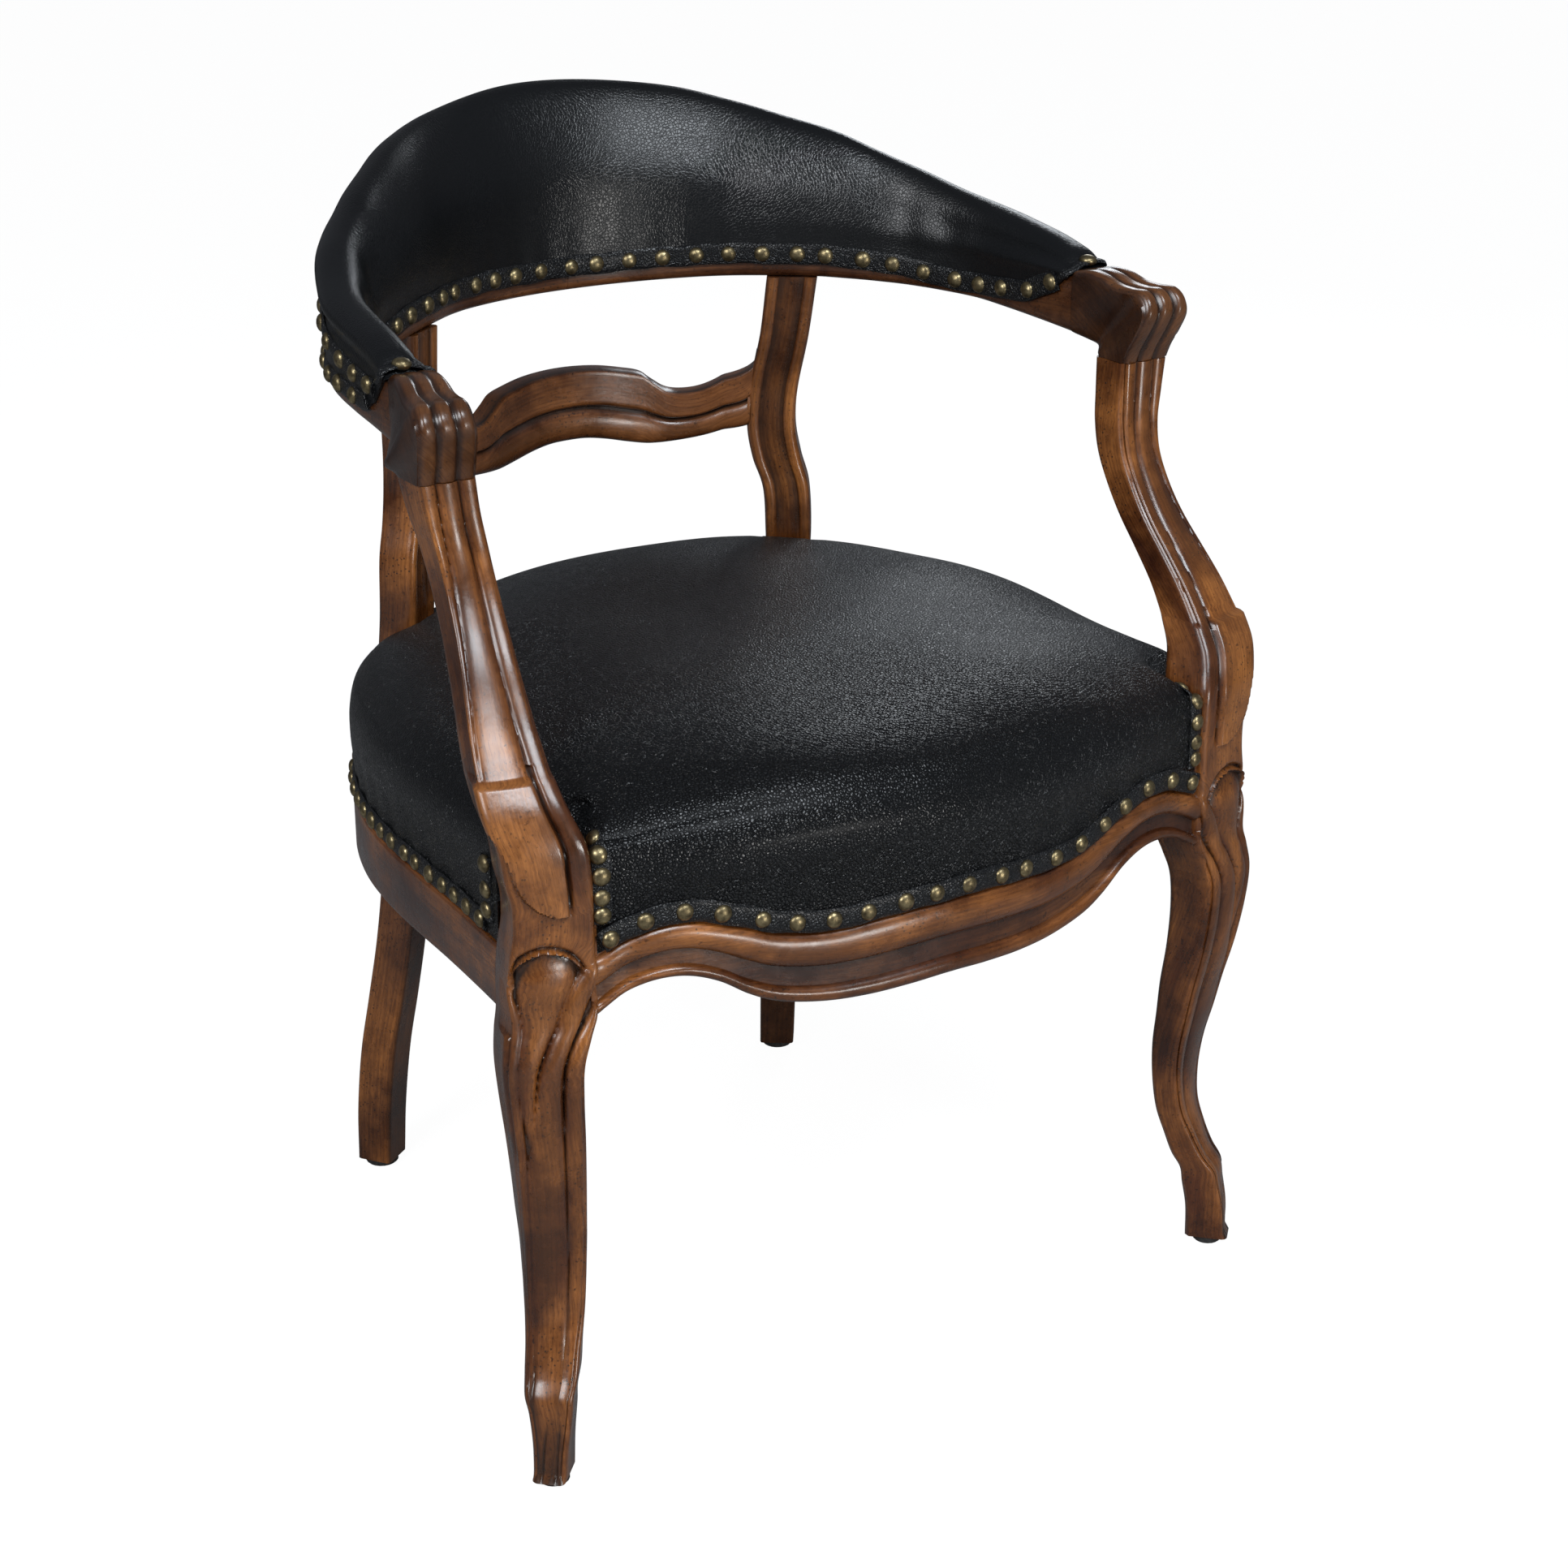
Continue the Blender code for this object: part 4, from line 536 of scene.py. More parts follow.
def bead_rise(s, z, line):
    """Height of a rounded ridge over its line, over the unrolled surface, in millimetres."""
    best = np.full(s.shape, FAR_AWAY)
    rise = np.full(s.shape, NO_WOOD)
    for a, b, t, off in segments(s, z, smooth_rows(line, 6 * len(line))):
        half = a[2] + (b[2] - a[2]) * t
        high = a[3] + (b[3] - a[3]) * t
        nearer = off < best
        best = np.where(nearer, off, best)
        rise = np.where(nearer, high * half_round(off, 0.0, half), rise)
    return rise


def highest_bead(s, z, *lines):
    return np.maximum.reduce([bead_rise(s, z, line) for line in lines])


def line_distance(s, z, line, count=60):
    return np.minimum.reduce([off for a, b, t, off in segments(s, z, smooth_rows(line, count))])


def shell_carving(s, z):
    """Beads of the lower leg and the scooped shell that they end in."""
    lower = highest_bead(s, z, INNER_BEAD, MAIN_BEAD, OUTER_BEAD)
    tongue = bead_rise(s, z, TONGUE)
    rim = smooth_rows(SHELL_RIM, 80)
    rim_z = np.interp(s, rim[::-1, 0], rim[::-1, 1], left=0.0, right=0.0)
    across = (s > SHELL_FROM) & (s < SHELL_TO)
    scoop = portion(z, rim_z - SCOOP_LENGTH, SCOOP_LENGTH)
    scooped = tongue * (1.0 - 0.45 * scoop ** 2) - 0.9 * scoop ** 3
    tongue = np.where((z < rim_z) & across, scooped, np.minimum(tongue, 0.0))
    lip = line_distance(s, z, SHELL_RIM)
    rise = np.maximum.reduce([lower, tongue, 3.4 * bell(lip, 0.0, 1.1)])
    # Over the rim comes a flat band, which the beads of the inner edge cross
    above = (z >= rim_z) & (z > SHELL_FOOT)
    band = np.where(above, 2.6 - 2.4 * bell(z - rim_z, 2.6, 1.9) * across, NO_WOOD)
    band *= portion(z, GROOVE_TO, -3.0)
    rise = np.where(above, np.maximum(np.where(lip < 2.4, rise, 0.0), band), rise)
    return np.where(above & (s < 6.0), np.maximum(rise, lower), rise), band


def leg_carving(s, z):
    """Rise over the sunk ground of the leg, in millimetres, at s across and z up."""
    rise, band = shell_carving(s, z)
    post = np.where(z > POST_FROM, highest_bead(s, z, POST_MIDDLE, POST_OUTER), NO_WOOD)
    inner = bead_rise(s, z, POST_INNER)
    foot = smooth_rows(LEAF_FOOT, 60)
    foot_z = np.interp(s, foot[:, 0], foot[:, 1], left=999.0, right=LEAF_FOOT[-1][1])
    groove_s = np.interp(z, GROOVE_HEIGHTS, GROOVE_PLACES)
    leaf = portion(z, foot_z, 0.8) * portion(s, groove_s, 1.4) * portion(z, 480.5, -2.0)
    leaf *= 4.8 + 1.8 * np.clip(1.0 - ((s - 33.0) / 26.0) ** 2, 0.0, 1.0)
    ground = np.where(z > LEAF_FROM, np.where(z < LEAF_TO, band, 0.0), rise)
    rise = np.where(z > BAND_FROM, np.maximum.reduce([ground, leaf, inner, post]), rise)
    groove = bell(s - groove_s, -0.3, 1.5) * portion(z, LEAF_FROM, 8.0) * (z < GROOVE_TO)
    # Long chip lines at the foot
    toe = (bell(s, 6.5 + (z - 20.0) * 0.02, 1.0) + bell(s, 15.5, 1.0)) * portion(z, TOE_TO, -12.0)
    return rise - 3.4 * groove - 1.2 * toe


INNER_POINTS = 12
BACK_POINTS = 8
LEG_CORNER = 0.0045
CORNER_STEP = 0.0012
BACK_INSET = 0.003
BACK_MARK = -0.2
SUNK = 3.0


def leg_outline(width, deep):
    """Outline of the bare leg in plan, and the place of each point on the unrolled surface."""
    inner = np.linspace(-deep + BACK_INSET, -CORNER_STEP, INNER_POINTS)
    face = np.linspace(0.0, width, FACE_POINTS)
    outer = np.linspace(width + CORNER_STEP, width + deep - BACK_INSET, OUTER_POINTS)
    back = np.linspace(width - BACK_INSET, BACK_INSET, BACK_POINTS)
    u = np.concatenate([np.zeros(INNER_POINTS), face, np.full(OUTER_POINTS, width), back])
    v = np.concatenate([-inner, np.zeros(FACE_POINTS), outer - width, np.full(BACK_POINTS, deep)])
    # The two front corners are rounded
    for edge, turned in ((0.0, 1.0), (width, -1.0)):
        au = LEG_CORNER - np.abs(u - edge)
        av = LEG_CORNER - v
        inside = (au > 0) & (av > 0)
        pull = np.minimum(LEG_CORNER / np.maximum(np.hypot(au, av), 1e-9), 1.0)
        u = np.where(inside, edge + turned * (LEG_CORNER - au * pull), u)
        v = np.where(inside, LEG_CORNER - av * pull, v)
    return np.stack([u, v], -1), np.concatenate([inner, face, outer, np.full(BACK_POINTS, BACK_MARK)])


def leg_grid():
    """Rings of the leg with the carving applied, and the carving depth that darkens the grooves with dark
    polish and painted shade.
    """
    outlines, places = zip(*[leg_outline(width, deep) for x, y, turn, width, deep in leg_rows])
    bare = np.array(outlines)
    s = np.array(places) * 1000.0
    z = np.repeat(leg_z[:, None] * 1000.0, s.shape[1], axis=1)
    width = leg_rows[:, 3:4] * 1000.0
    # The carving fades over the inner and the outer side, and the back is plain
    faded = np.where(s > width, 1.0 - portion(s, width, np.where(z < 320.0, 7.0, 26.0)), 1.0)
    faded = np.where(s < 0.0, portion(s, -5.0, 5.0), faded)
    rise = leg_carving(s, z) * faded
    bolder = 1.0 + 0.55 * portion(z, 225.0, 50.0) * portion(z, 382.0, -8.0)
    out = (rise - SUNK * faded) * portion(z, 5.3, 6.0) * bolder / 1000.0
    tangent = np.roll(bare, -1, axis=1) - np.roll(bare, 1, axis=1)
    normal = unit(np.stack([-tangent[..., 1], tangent[..., 0]], -1))
    middle = leg_rows[:, None, 3:5] / 2
    facing = np.sign(((bare - middle) * normal).sum(axis=2, keepdims=True))
    moved = bare + normal * facing * out[..., None]
    angle = np.radians(leg_rows[:, 2])[:, None]
    x = leg_rows[:, 0:1] + np.cos(angle) * moved[..., 0] - np.sin(angle) * moved[..., 1]
    y = leg_rows[:, 1:2] + np.sin(angle) * moved[..., 0] + np.cos(angle) * moved[..., 1]
    # The depth paints the grooves dark, as dark polish and painted shade, and the ridges paler, as rubbing
    # and painted highlight
    depth = np.clip((rise - 1.6) / 2.4, -1.0, 1.0)
    depth = np.where((s < -1.0) | (s > width + 0.5), np.maximum(depth, 0.12), depth)
    # Painted shade round the tongue and under the lip of the shell, together with the dark polish gathered
    # there
    shade_round_tongue = portion(z, 250.0, 60.0) * (z < 374.0) * (s > 8.0) * (s < 58.0)
    shade_under_lip = bell(z, 364.0, 9.0) * portion(s, 12.0, 8.0) * portion(s, 56.0, -6.0) * (z < 372.0)
    depth = depth - 0.40 * shade_round_tongue * portion(rise, 2.2, -1.0) - 0.75 * shade_under_lip
    depth = np.where(s < -5.0, 0.0, np.where(depth < 0, depth * 1.3, depth * 0.6))
    depth = np.where(s > width + 8.0, np.clip(depth, -0.6, 1.0) * 0.5, depth)
    return np.stack([x, y, z / 1000.0], -1), np.clip(depth, -1.0, 1.0)


leg_surface, leg_depth = leg_grid()
both_sides("carved_leg", leg_surface, wood_leg, "walnut", "front_leg", carve=leg_depth)

# %% [markdown]
# Rear legs. Below the seat they are plain square bars that sweep back. Above it the face
# towards the sitter has a bead along each edge and a channel between.

# %% Rear legs with the stiles
REAR_LEG = [
    (0.0053, 0.1830, 0.1680, 0.0275, 0.0275), (0.0500, 0.1820, 0.1650, 0.0285, 0.0285),
    (0.1000, 0.1790, 0.1590, 0.0290, 0.0290), (0.1500, 0.1750, 0.1480, 0.0290, 0.0290),
    (0.2000, 0.1710, 0.1380, 0.0285, 0.0285), (0.2500, 0.1680, 0.1310, 0.0280, 0.0280),
    (0.3000, 0.1660, 0.1270, 0.0280, 0.0280), (0.3500, 0.1650, 0.1250, 0.0280, 0.0280),
    (0.4100, 0.1650, 0.1245, 0.0280, 0.0280), (0.4600, 0.1620, 0.1190, 0.0340, 0.0280),
    (0.5000, 0.1600, 0.1190, 0.0345, 0.0280), (0.5250, 0.1540, 0.1230, 0.0360, 0.0280),
    (0.5500, 0.1505, 0.1250, 0.0360, 0.0285), (0.5800, 0.1510, 0.1220, 0.0360, 0.0285),
    (0.6200, 0.1550, 0.1140, 0.0360, 0.0290), (0.6652, 0.1570, 0.1065, 0.0370, 0.0290),
]
REAR_ANGLE = math.radians(-35)
REAR_EX = np.array([math.cos(REAR_ANGLE), math.sin(REAR_ANGLE)])
REAR_EY = np.array([-math.sin(REAR_ANGLE), math.cos(REAR_ANGLE)])


def rounded_box(width, deep, face_points, side_points, radius):
    """Outline of a bar, front face first, as (points, 2) plus a marker of the front face."""
    hw, hd = width / 2, deep / 2
    u = np.concatenate([np.linspace(-hw, hw, face_points), np.full(side_points, hw),
                        np.linspace(hw, -hw, face_points // 2), np.full(side_points, -hw)])
    v = np.concatenate([np.full(face_points, -hd), np.linspace(-hd, hd, side_points + 2)[1:-1],
                        np.full(face_points // 2, hd), np.linspace(hd, -hd, side_points + 2)[1:-1]])
    inside_u = np.clip(u, -hw + radius, hw - radius)
    inside_v = np.clip(v, -hd + radius, hd - radius)
    du, dv = u - inside_u, v - inside_v
    size = np.hypot(du, dv)
    corner = (np.abs(du) > 0) & (np.abs(dv) > 0)
    pull = np.where(corner, radius / np.maximum(size, 1e-9), 1.0)
    front = np.arange(len(u)) < face_points
    return np.stack([inside_u + du * pull, inside_v + dv * pull], -1), front


STILE_CUT = 0.0030
STILE_FROM = 0.43
STILE_BEADS = (0.13, 0.87)
BEAD_HALF = 0.13
COVE_FROM, COVE_TO = 0.24, 0.76


def rear_grid():
    grid = []
    depth = []
    for z, x, y, width, deep in smooth_rows(REAR_LEG, 150):
        shape, front = rounded_box(width, deep, 28, 8, 0.0026)
        share = portion(z, STILE_FROM, 0.05)
        t = (shape[:, 0] + width / 2) / width
        bead = np.maximum.reduce([half_round(t, place, BEAD_HALF) for place in STILE_BEADS])
        in_cove = (t > COVE_FROM) & (t < COVE_TO)
        cove = np.where(in_cove, 0.35 * np.sin((t - COVE_FROM) / (COVE_TO - COVE_FROM) * math.pi), 0.0)
        cut = np.where(front, STILE_CUT * share * (1 - np.maximum(bead, cove)), 0.0)
        shape[:, 1] += cut
        across, back = shape[:, :1], shape[:, 1:]
        grid.append(np.column_stack([np.array([x, y]) + REAR_EX * across + REAR_EY * back,
                                     np.full(len(shape), z)]))
        # The cove of the stile is painted darker and its beads paler, as dark polish and painted shade; below
        # the seat the front face is painted dark as shade under the seat
        depth.append(np.where(front, share * (0.55 - 1.5 * cut / STILE_CUT), 0.0) - 0.55 * front * (z < 0.40))
    return np.array(grid), np.clip(np.array(depth), -1, 1)


rear_surface, rear_depth = rear_grid()
both_sides("rear_leg_shaped", rear_surface, wood_rear, "walnut", "rear_leg", carve=rear_depth)

# %% [markdown]
# Front rail. It bows out between the legs, and its lower edge dips in the middle like a drawn
# curtain. Its face is a moulding: a thick upper roll, a dark groove and a slimmer lower bead
# that run on into the beads of the legs.

# %% Front rail
RAIL_END_X = 0.2420
RAIL_ONTO_LEG = 0.0030
RAIL_CORNER_Y = -0.2780
RAIL_BOW = 0.0440
RAIL_DEPTH = 0.028
RAIL_TOP = 0.392
RAIL_UNDER = 0.319
UNDER_STEP = 0.0026         # front and rear rail end this much above the side rails
REBATE = 0.0045
RAIL_BOW_HALF = 0.235
RAIL_MEETS_LEG_FROM = 0.214
RAIL_MEETS_LEG_OVER = 0.024
MOULDING_CUT = 0.0070
LEG_TURN = math.radians(16)
# distance from the middle, height of the lower and of the upper edge
RAIL_EDGES = [
    (0.000, 0.3095, 0.3610), (0.030, 0.3080, 0.3600), (0.060, 0.3070, 0.3580), (0.090, 0.3085, 0.3570),
    (0.120, 0.3140, 0.3610), (0.140, 0.3225, 0.3680), (0.160, 0.3350, 0.3740), (0.180, 0.3420, 0.3785),
    (0.200, 0.3425, 0.3775), (0.220, 0.3370, 0.3720), (0.2377, 0.3270, 0.3645),
]
rail_fine = smooth_rows(mirrored(RAIL_EDGES), 300)


def rail_front_y(x):
    meets_leg = RAIL_ONTO_LEG * smooth_step(portion(np.abs(x), RAIL_MEETS_LEG_FROM, RAIL_MEETS_LEG_OVER))
    bow = RAIL_BOW * (1 - np.minimum(np.abs(x) / RAIL_BOW_HALF, 1.0) ** 1.5)
    return RAIL_CORNER_Y - bow - meets_leg


def rail_edges(x):
    return np.interp(x, rail_fine[:, 0], rail_fine[:, 1]), np.interp(x, rail_fine[:, 0], rail_fine[:, 2])


def moulding(t):
    """Set-back in metres of the rail face at t, from 0 at the lower edge to 1 at the top."""
    lower = half_round(t, 0.10, 0.12) * 0.0056
    upper = half_round(t, 0.75, 0.26) * MOULDING_CUT
    hollow = 0.0012 * portion(t, 0.5, -0.3)
    return MOULDING_CUT - np.maximum(np.maximum(lower, upper), hollow)


def front_rail_grid():
    grid = []
    depth = []
    t = np.linspace(0.0, 1.0, 46)
    rise = 1.0 - 1.9 * moulding(t) / MOULDING_CUT
    for x in np.linspace(-RAIL_END_X, RAIL_END_X, 241):
        low, top = rail_edges(x)
        lean = math.copysign(math.sin(LEG_TURN), x) * (abs(x) / RAIL_END_X) ** 4
        inward = np.array([-lean, math.sqrt(1 - lean * lean)])
        under = max(low + 0.004, RAIL_UNDER + UNDER_STEP)
        lip = [(RAIL_DEPTH, under), (0.0150, under), (0.0150, low + 0.003), (0.0120, low + 0.0004)]
        face = np.column_stack([moulding(t), low + (top - low) * t])
        rebate = [(REBATE + 0.001, top + 0.0003), (REBATE + 0.001, RAIL_TOP), (RAIL_DEPTH, RAIL_TOP)]
        section = np.vstack([lip, face, rebate])
        plan = np.array([x, rail_front_y(x)]) + inward * section[:, :1]
        grid.append(np.column_stack([plan, section[:, 1]]))
        # The underside is painted dark as shade under the rail; on the face the groove is painted darker and
        # the roll and bead paler, as dark polish and painted shade
        depth.append(np.concatenate([np.full(len(lip), -0.5), rise * 0.55, np.zeros(len(rebate))]))
    return np.array(grid), np.clip(np.array(depth), -1, 1)


rail_surface, rail_depth = front_rail_grid()
front_rail = skin("front_rail_moulded", rail_surface, wood_rail, carve=rail_depth)
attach(front_rail, "root")
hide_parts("front_rail")
print("front rail", len(front_rail.data.vertices), "points")

# %% Side and rear rails
SIDE_RAIL = [
    (0.2785, -0.2265), (0.2755, -0.1900), (0.2725, -0.1450), (0.2705, -0.1000), (0.2680, -0.0600),
    (0.2630, -0.0200), (0.2550, 0.0150), (0.2420, 0.0520), (0.2240, 0.0850), (0.2040, 0.1100),
    (0.1849, 0.1282),
]
SIDE_RAIL_VISIBLE = 0.363
SIDE_RAIL_MIDDLE = 0.345
SIDE_DEPTH = 0.026
SIDE_COUNT = 80
SIDE_TURN_COUNT = 11.0
REAR_RAIL_BOW = 0.172
REAR_CENTRE = np.array([0.1650, 0.1250])
REAR_RAIL_END = REAR_CENTRE - REAR_EX * 0.0143 + REAR_EY * 0.0130
REAR_RAIL_DEPTH = 0.024


def plain_rail_section(deep, under):
    """Bare face with softened edges below the rebate that takes the leather."""
    return np.array([(deep, under), (0.0030, under), (0.0012, under + 0.0006), (0.0003, under + 0.0020),
                     (0.0, under + 0.0040), (0.0, SIDE_RAIL_MIDDLE), (0.0, SIDE_RAIL_VISIBLE - 0.0030),
                     (0.0004, SIDE_RAIL_VISIBLE - 0.0010), (0.0014, SIDE_RAIL_VISIBLE),
                     (REBATE, SIDE_RAIL_VISIBLE), (REBATE, RAIL_TOP), (deep, RAIL_TOP)])


def side_rail_grid():
    line = smooth_rows(SIDE_RAIL, SIDE_COUNT)
    tangent = unit(np.gradient(line, axis=0))
    inward = np.stack([-tangent[:, 1], tangent[:, 0]], -1)
    # At its ends the rail is cut to the faces of the two legs
    front = np.clip(1 - np.arange(SIDE_COUNT) / SIDE_TURN_COUNT, 0, 1)[:, None]
    rear = front[::-1]
    leg_back = np.array([-math.cos(LEG_TURN), -math.sin(LEG_TURN)])
    inward = unit(inward * (1 - front - rear) + leg_back * front - REAR_EY * rear)
    section = plain_rail_section(SIDE_DEPTH, RAIL_UNDER)
    plan = line[:, None, :] + inward[:, None, :] * section[None, :, :1]
    return np.concatenate([plan, np.tile(section[None, :, 1:], (SIDE_COUNT, 1, 1))], axis=2)


def rear_face_y(x):
    t = x / REAR_RAIL_END[0]
    return REAR_RAIL_BOW - (REAR_RAIL_BOW - REAR_RAIL_END[1]) * t * t


def rear_rail_grid():
    section = plain_rail_section(REAR_RAIL_DEPTH, RAIL_UNDER + UNDER_STEP)
    grid = []
    for t in np.linspace(-1, 1, 81):
        x = REAR_RAIL_END[0] * t
        inward = unit(np.array([-REAR_EY[0] * t, -1 + (1 - REAR_EY[1]) * abs(t)]))
        grid.append(np.column_stack([np.array([x, rear_face_y(x)]) + inward * section[:, :1], section[:, 1]]))
    return grid


both_sides("side_rail_soft", side_rail_grid(), wood_rail, "walnut", "side_rail")
rear_rail = skin("rear_rail_soft", rear_rail_grid(), wood_rear)
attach(rear_rail, "root")
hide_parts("rear_rail")

# %% [markdown]
# Arms. Each hand hold is three fat ridges that rise from the post, roll over the knuckle and
# run back into the hoop. Its rings turn with the roll, so the ridges stay the same width.

# %% Hand holds
# front edge y and z, back edge y and z, inner x, width, height of the ridges
ARM = [
    (-0.1670, 0.6423, -0.1360, 0.6423, 0.2480, 0.0405, 3.4),
    (-0.1710, 0.6530, -0.1340, 0.6435, 0.2490, 0.0405, 3.8),
    (-0.1770, 0.6650, -0.1320, 0.6445, 0.2510, 0.0405, 4.4),
    (-0.1815, 0.6770, -0.1300, 0.6455, 0.2530, 0.0400, 4.8),
    (-0.1790, 0.6865, -0.1280, 0.6465, 0.2540, 0.0390, 4.6),
    (-0.1715, 0.6925, -0.1255, 0.6475, 0.2535, 0.0375, 4.2),
    (-0.1600, 0.6925, -0.1225, 0.6485, 0.2520, 0.0360, 3.6),
    (-0.1480, 0.6935, -0.1190, 0.6495, 0.2505, 0.0350, 2.8),
    (-0.1350, 0.6975, -0.1150, 0.6505, 0.2490, 0.0335, 1.8),
    (-0.1220, 0.6985, -0.1115, 0.6513, 0.2478, 0.0318, 0.9),
    (-0.1083, 0.6960, -0.1083, 0.6520, 0.2470, 0.0300, 0.4),
]
# places and width of the grooves between the ridges, as shares of the arm's width
RIDGE_GROOVES = (0.34, 0.67)
GROOVE_WIDTH = 0.055
BORDER_WIDTH = 0.07


def arm_grid():
    grid = []
    depth = []
    for fy, fz, by, bz, x, width, ridge in smooth_rows(ARM, 110):
        deep = math.hypot(by - fy, bz - fz)
        inward = np.array([by - fy, bz - fz]) / deep
        shape, front = rounded_box(width, deep, 44, 12, min(0.0055, deep * 0.2))
        t = (shape[:, 0] + width / 2) / width
        grooves = sum(bell(t, place, GROOVE_WIDTH) for place in RIDGE_GROOVES)
        borders = bell(t, 0.0, BORDER_WIDTH) + bell(t, 1.0, BORDER_WIDTH)
        low = 0.72 * grooves + 0.55 * borders
        # The two sides are hollowed a little between their rounded corners
        side = ~front & (np.abs(t - 0.5) > 0.49) & (np.abs(shape[:, 1]) < deep * 0.42)
        shape[:, 1] += np.where(front, ridge / 1000.0 * low, 0.0) + deep / 2
        shape[:, 0] -= np.sign(shape[:, 0]) * np.where(side, 0.0004, 0.0)
        rise = np.array([fy, fz]) + inward * shape[:, 1:]
        grid.append(np.column_stack([x + width / 2 + shape[:, 0], rise]))
        # Grooves and edges painted darker and ridges paler, as dark polish and painted shade; the sides a
        # little darker
        depth.append(np.where(front, 0.5 - 1.5 * low, -0.10))
    return np.array(grid), np.clip(np.array(depth), -1, 1)


arm_surface, arm_depth = arm_grid()
both_sides("hand_hold", arm_surface, wood_hand, "walnut", "arm", carve=arm_depth)

# %% [markdown]
# Hoop. One bent line in plan carries the crest rail, the padding, both leathers and the nail
# rows, so they all share one table: plan, underside, wood height, top of the roll, lean and
# the height of the outer nail row.

# %% Hoop line and crest rail
HOOP = [
    (0.2620, -0.1080, 0.6520, 0.0400, 0.7035, 0.0030, 0.6900),
    (0.2590, -0.0750, 0.6545, 0.0360, 0.7135, 0.0030, 0.6945),
    (0.2560, -0.0420, 0.6565, 0.0320, 0.7190, 0.0030, 0.6990),
    (0.2510, -0.0080, 0.6585, 0.0300, 0.7250, 0.0035, 0.7030),
    (0.2400, 0.0200, 0.6600, 0.0290, 0.7330, 0.0045, 0.7070),
    (0.2250, 0.0460, 0.6615, 0.0280, 0.7430, 0.0065, 0.7110),
    (0.2070, 0.0660, 0.6630, 0.0280, 0.7525, 0.0095, 0.7150),
    (0.1880, 0.0820, 0.6645, 0.0280, 0.7630, 0.0125, 0.7190),
    (0.1710, 0.0960, 0.6655, 0.0280, 0.7705, 0.0155, 0.7220),
    (0.1480, 0.1140, 0.6655, 0.0280, 0.7785, 0.0180, 0.7260),
    (0.1180, 0.1380, 0.6645, 0.0280, 0.7880, 0.0205, 0.7300),
    (0.0850, 0.1570, 0.6630, 0.0280, 0.7975, 0.0220, 0.7330),
    (0.0430, 0.1720, 0.6615, 0.0280, 0.8035, 0.0230, 0.7350),
    (0.0000, 0.1770, 0.6610, 0.0280, 0.8050, 0.0230, 0.7360),
]
HOOP_WIDTH = 0.028
LEATHER = 0.0015
FIT_GAP = 0.0003
HALF_COUNT = 110
ARM_SHARE = 0.23            # the part of the hoop, from each end, that lies over the arms
whole_table = HOOP + [(-row[0],) + row[1:] for row in HOOP[-2::-1]]
hoop = smooth_rows(whole_table, 2 * HALF_COUNT - 1)
share_along = np.concatenate([np.linspace(0, 1, HALF_COUNT), np.linspace(1, 0, HALF_COUNT)[1:]])
hoop_tangent = unit(np.gradient(hoop[:, :2], axis=0))
hoop_out = np.stack([hoop_tangent[:, 1], -hoop_tangent[:, 0]], -1)
hoop_out[0] = (1, 0)
hoop_out[-1] = (-1, 0)


def on_hoop(index, section, start_gap=0.0):
    """Section points (outward, height) placed in the world at a hoop station."""
    x, y = hoop[index, :2]
    ease = start_gap * max(0.0, 1 - share_along[index] / ARM_SHARE)
    out = hoop_out[index]
    section = np.asarray(section)
    return np.column_stack([x + out[0] * section[:, 0], y + ease + out[1] * section[:, 0], section[:, 1]])


def crest_section(row):
    under, top, half = row[2], row[2] + row[3], HOOP_WIDTH / 2
    soft_edge = [(half - 0.0050, 0.0), (half - 0.0022, 0.0010), (half - 0.0006, 0.0030), (half, 0.0060)]
    left = [(-u, under + v) for u, v in soft_edge[::-1]]
    right = [(u, under + v) for u, v in soft_edge]
    upper = [(half, top - 0.001), (half - 0.001, top), (-half + 0.001, top), (-half, top - 0.001)]
    return left + [(0.0, under - 0.0001)] + right + upper


crest = [on_hoop(k, crest_section(hoop[k]), 0.0006) for k in range(HALF_COUNT)]
crest[-1][:, 0] = 0.00015
both_sides("crest_rail_bare", crest, wood_hoop, "walnut", "crest_rail")

# %% [markdown]
# Back slat. Its upper edge climbs into the two stiles. Across its face run a plain band, a
# dark groove and a glossy rounded moulding.

# %% Back slat
# distance from the middle, height of the lower and of the upper edge
SLAT = [
    (0.000, 0.5480, 0.6000), (0.015, 0.5475, 0.5995), (0.030, 0.5450, 0.5980), (0.045, 0.5415, 0.5950),
    (0.058, 0.5390, 0.5915), (0.066, 0.5385, 0.5850), (0.076, 0.5390, 0.5780), (0.088, 0.5405, 0.5765),
    (0.100, 0.5430, 0.5790), (0.112, 0.5470, 0.5860), (0.122, 0.5510, 0.5960), (0.1285, 0.5530, 0.6060),
]
SLAT_MID_Y = 0.165
SLAT_SWEEP = 0.0440
SLAT_DEPTH = 0.019
SLAT_HALF = 0.1285
SLAT_CUT = 0.0046
SLAT_GROOVE = 0.47
STRETCH_FROM = 0.112


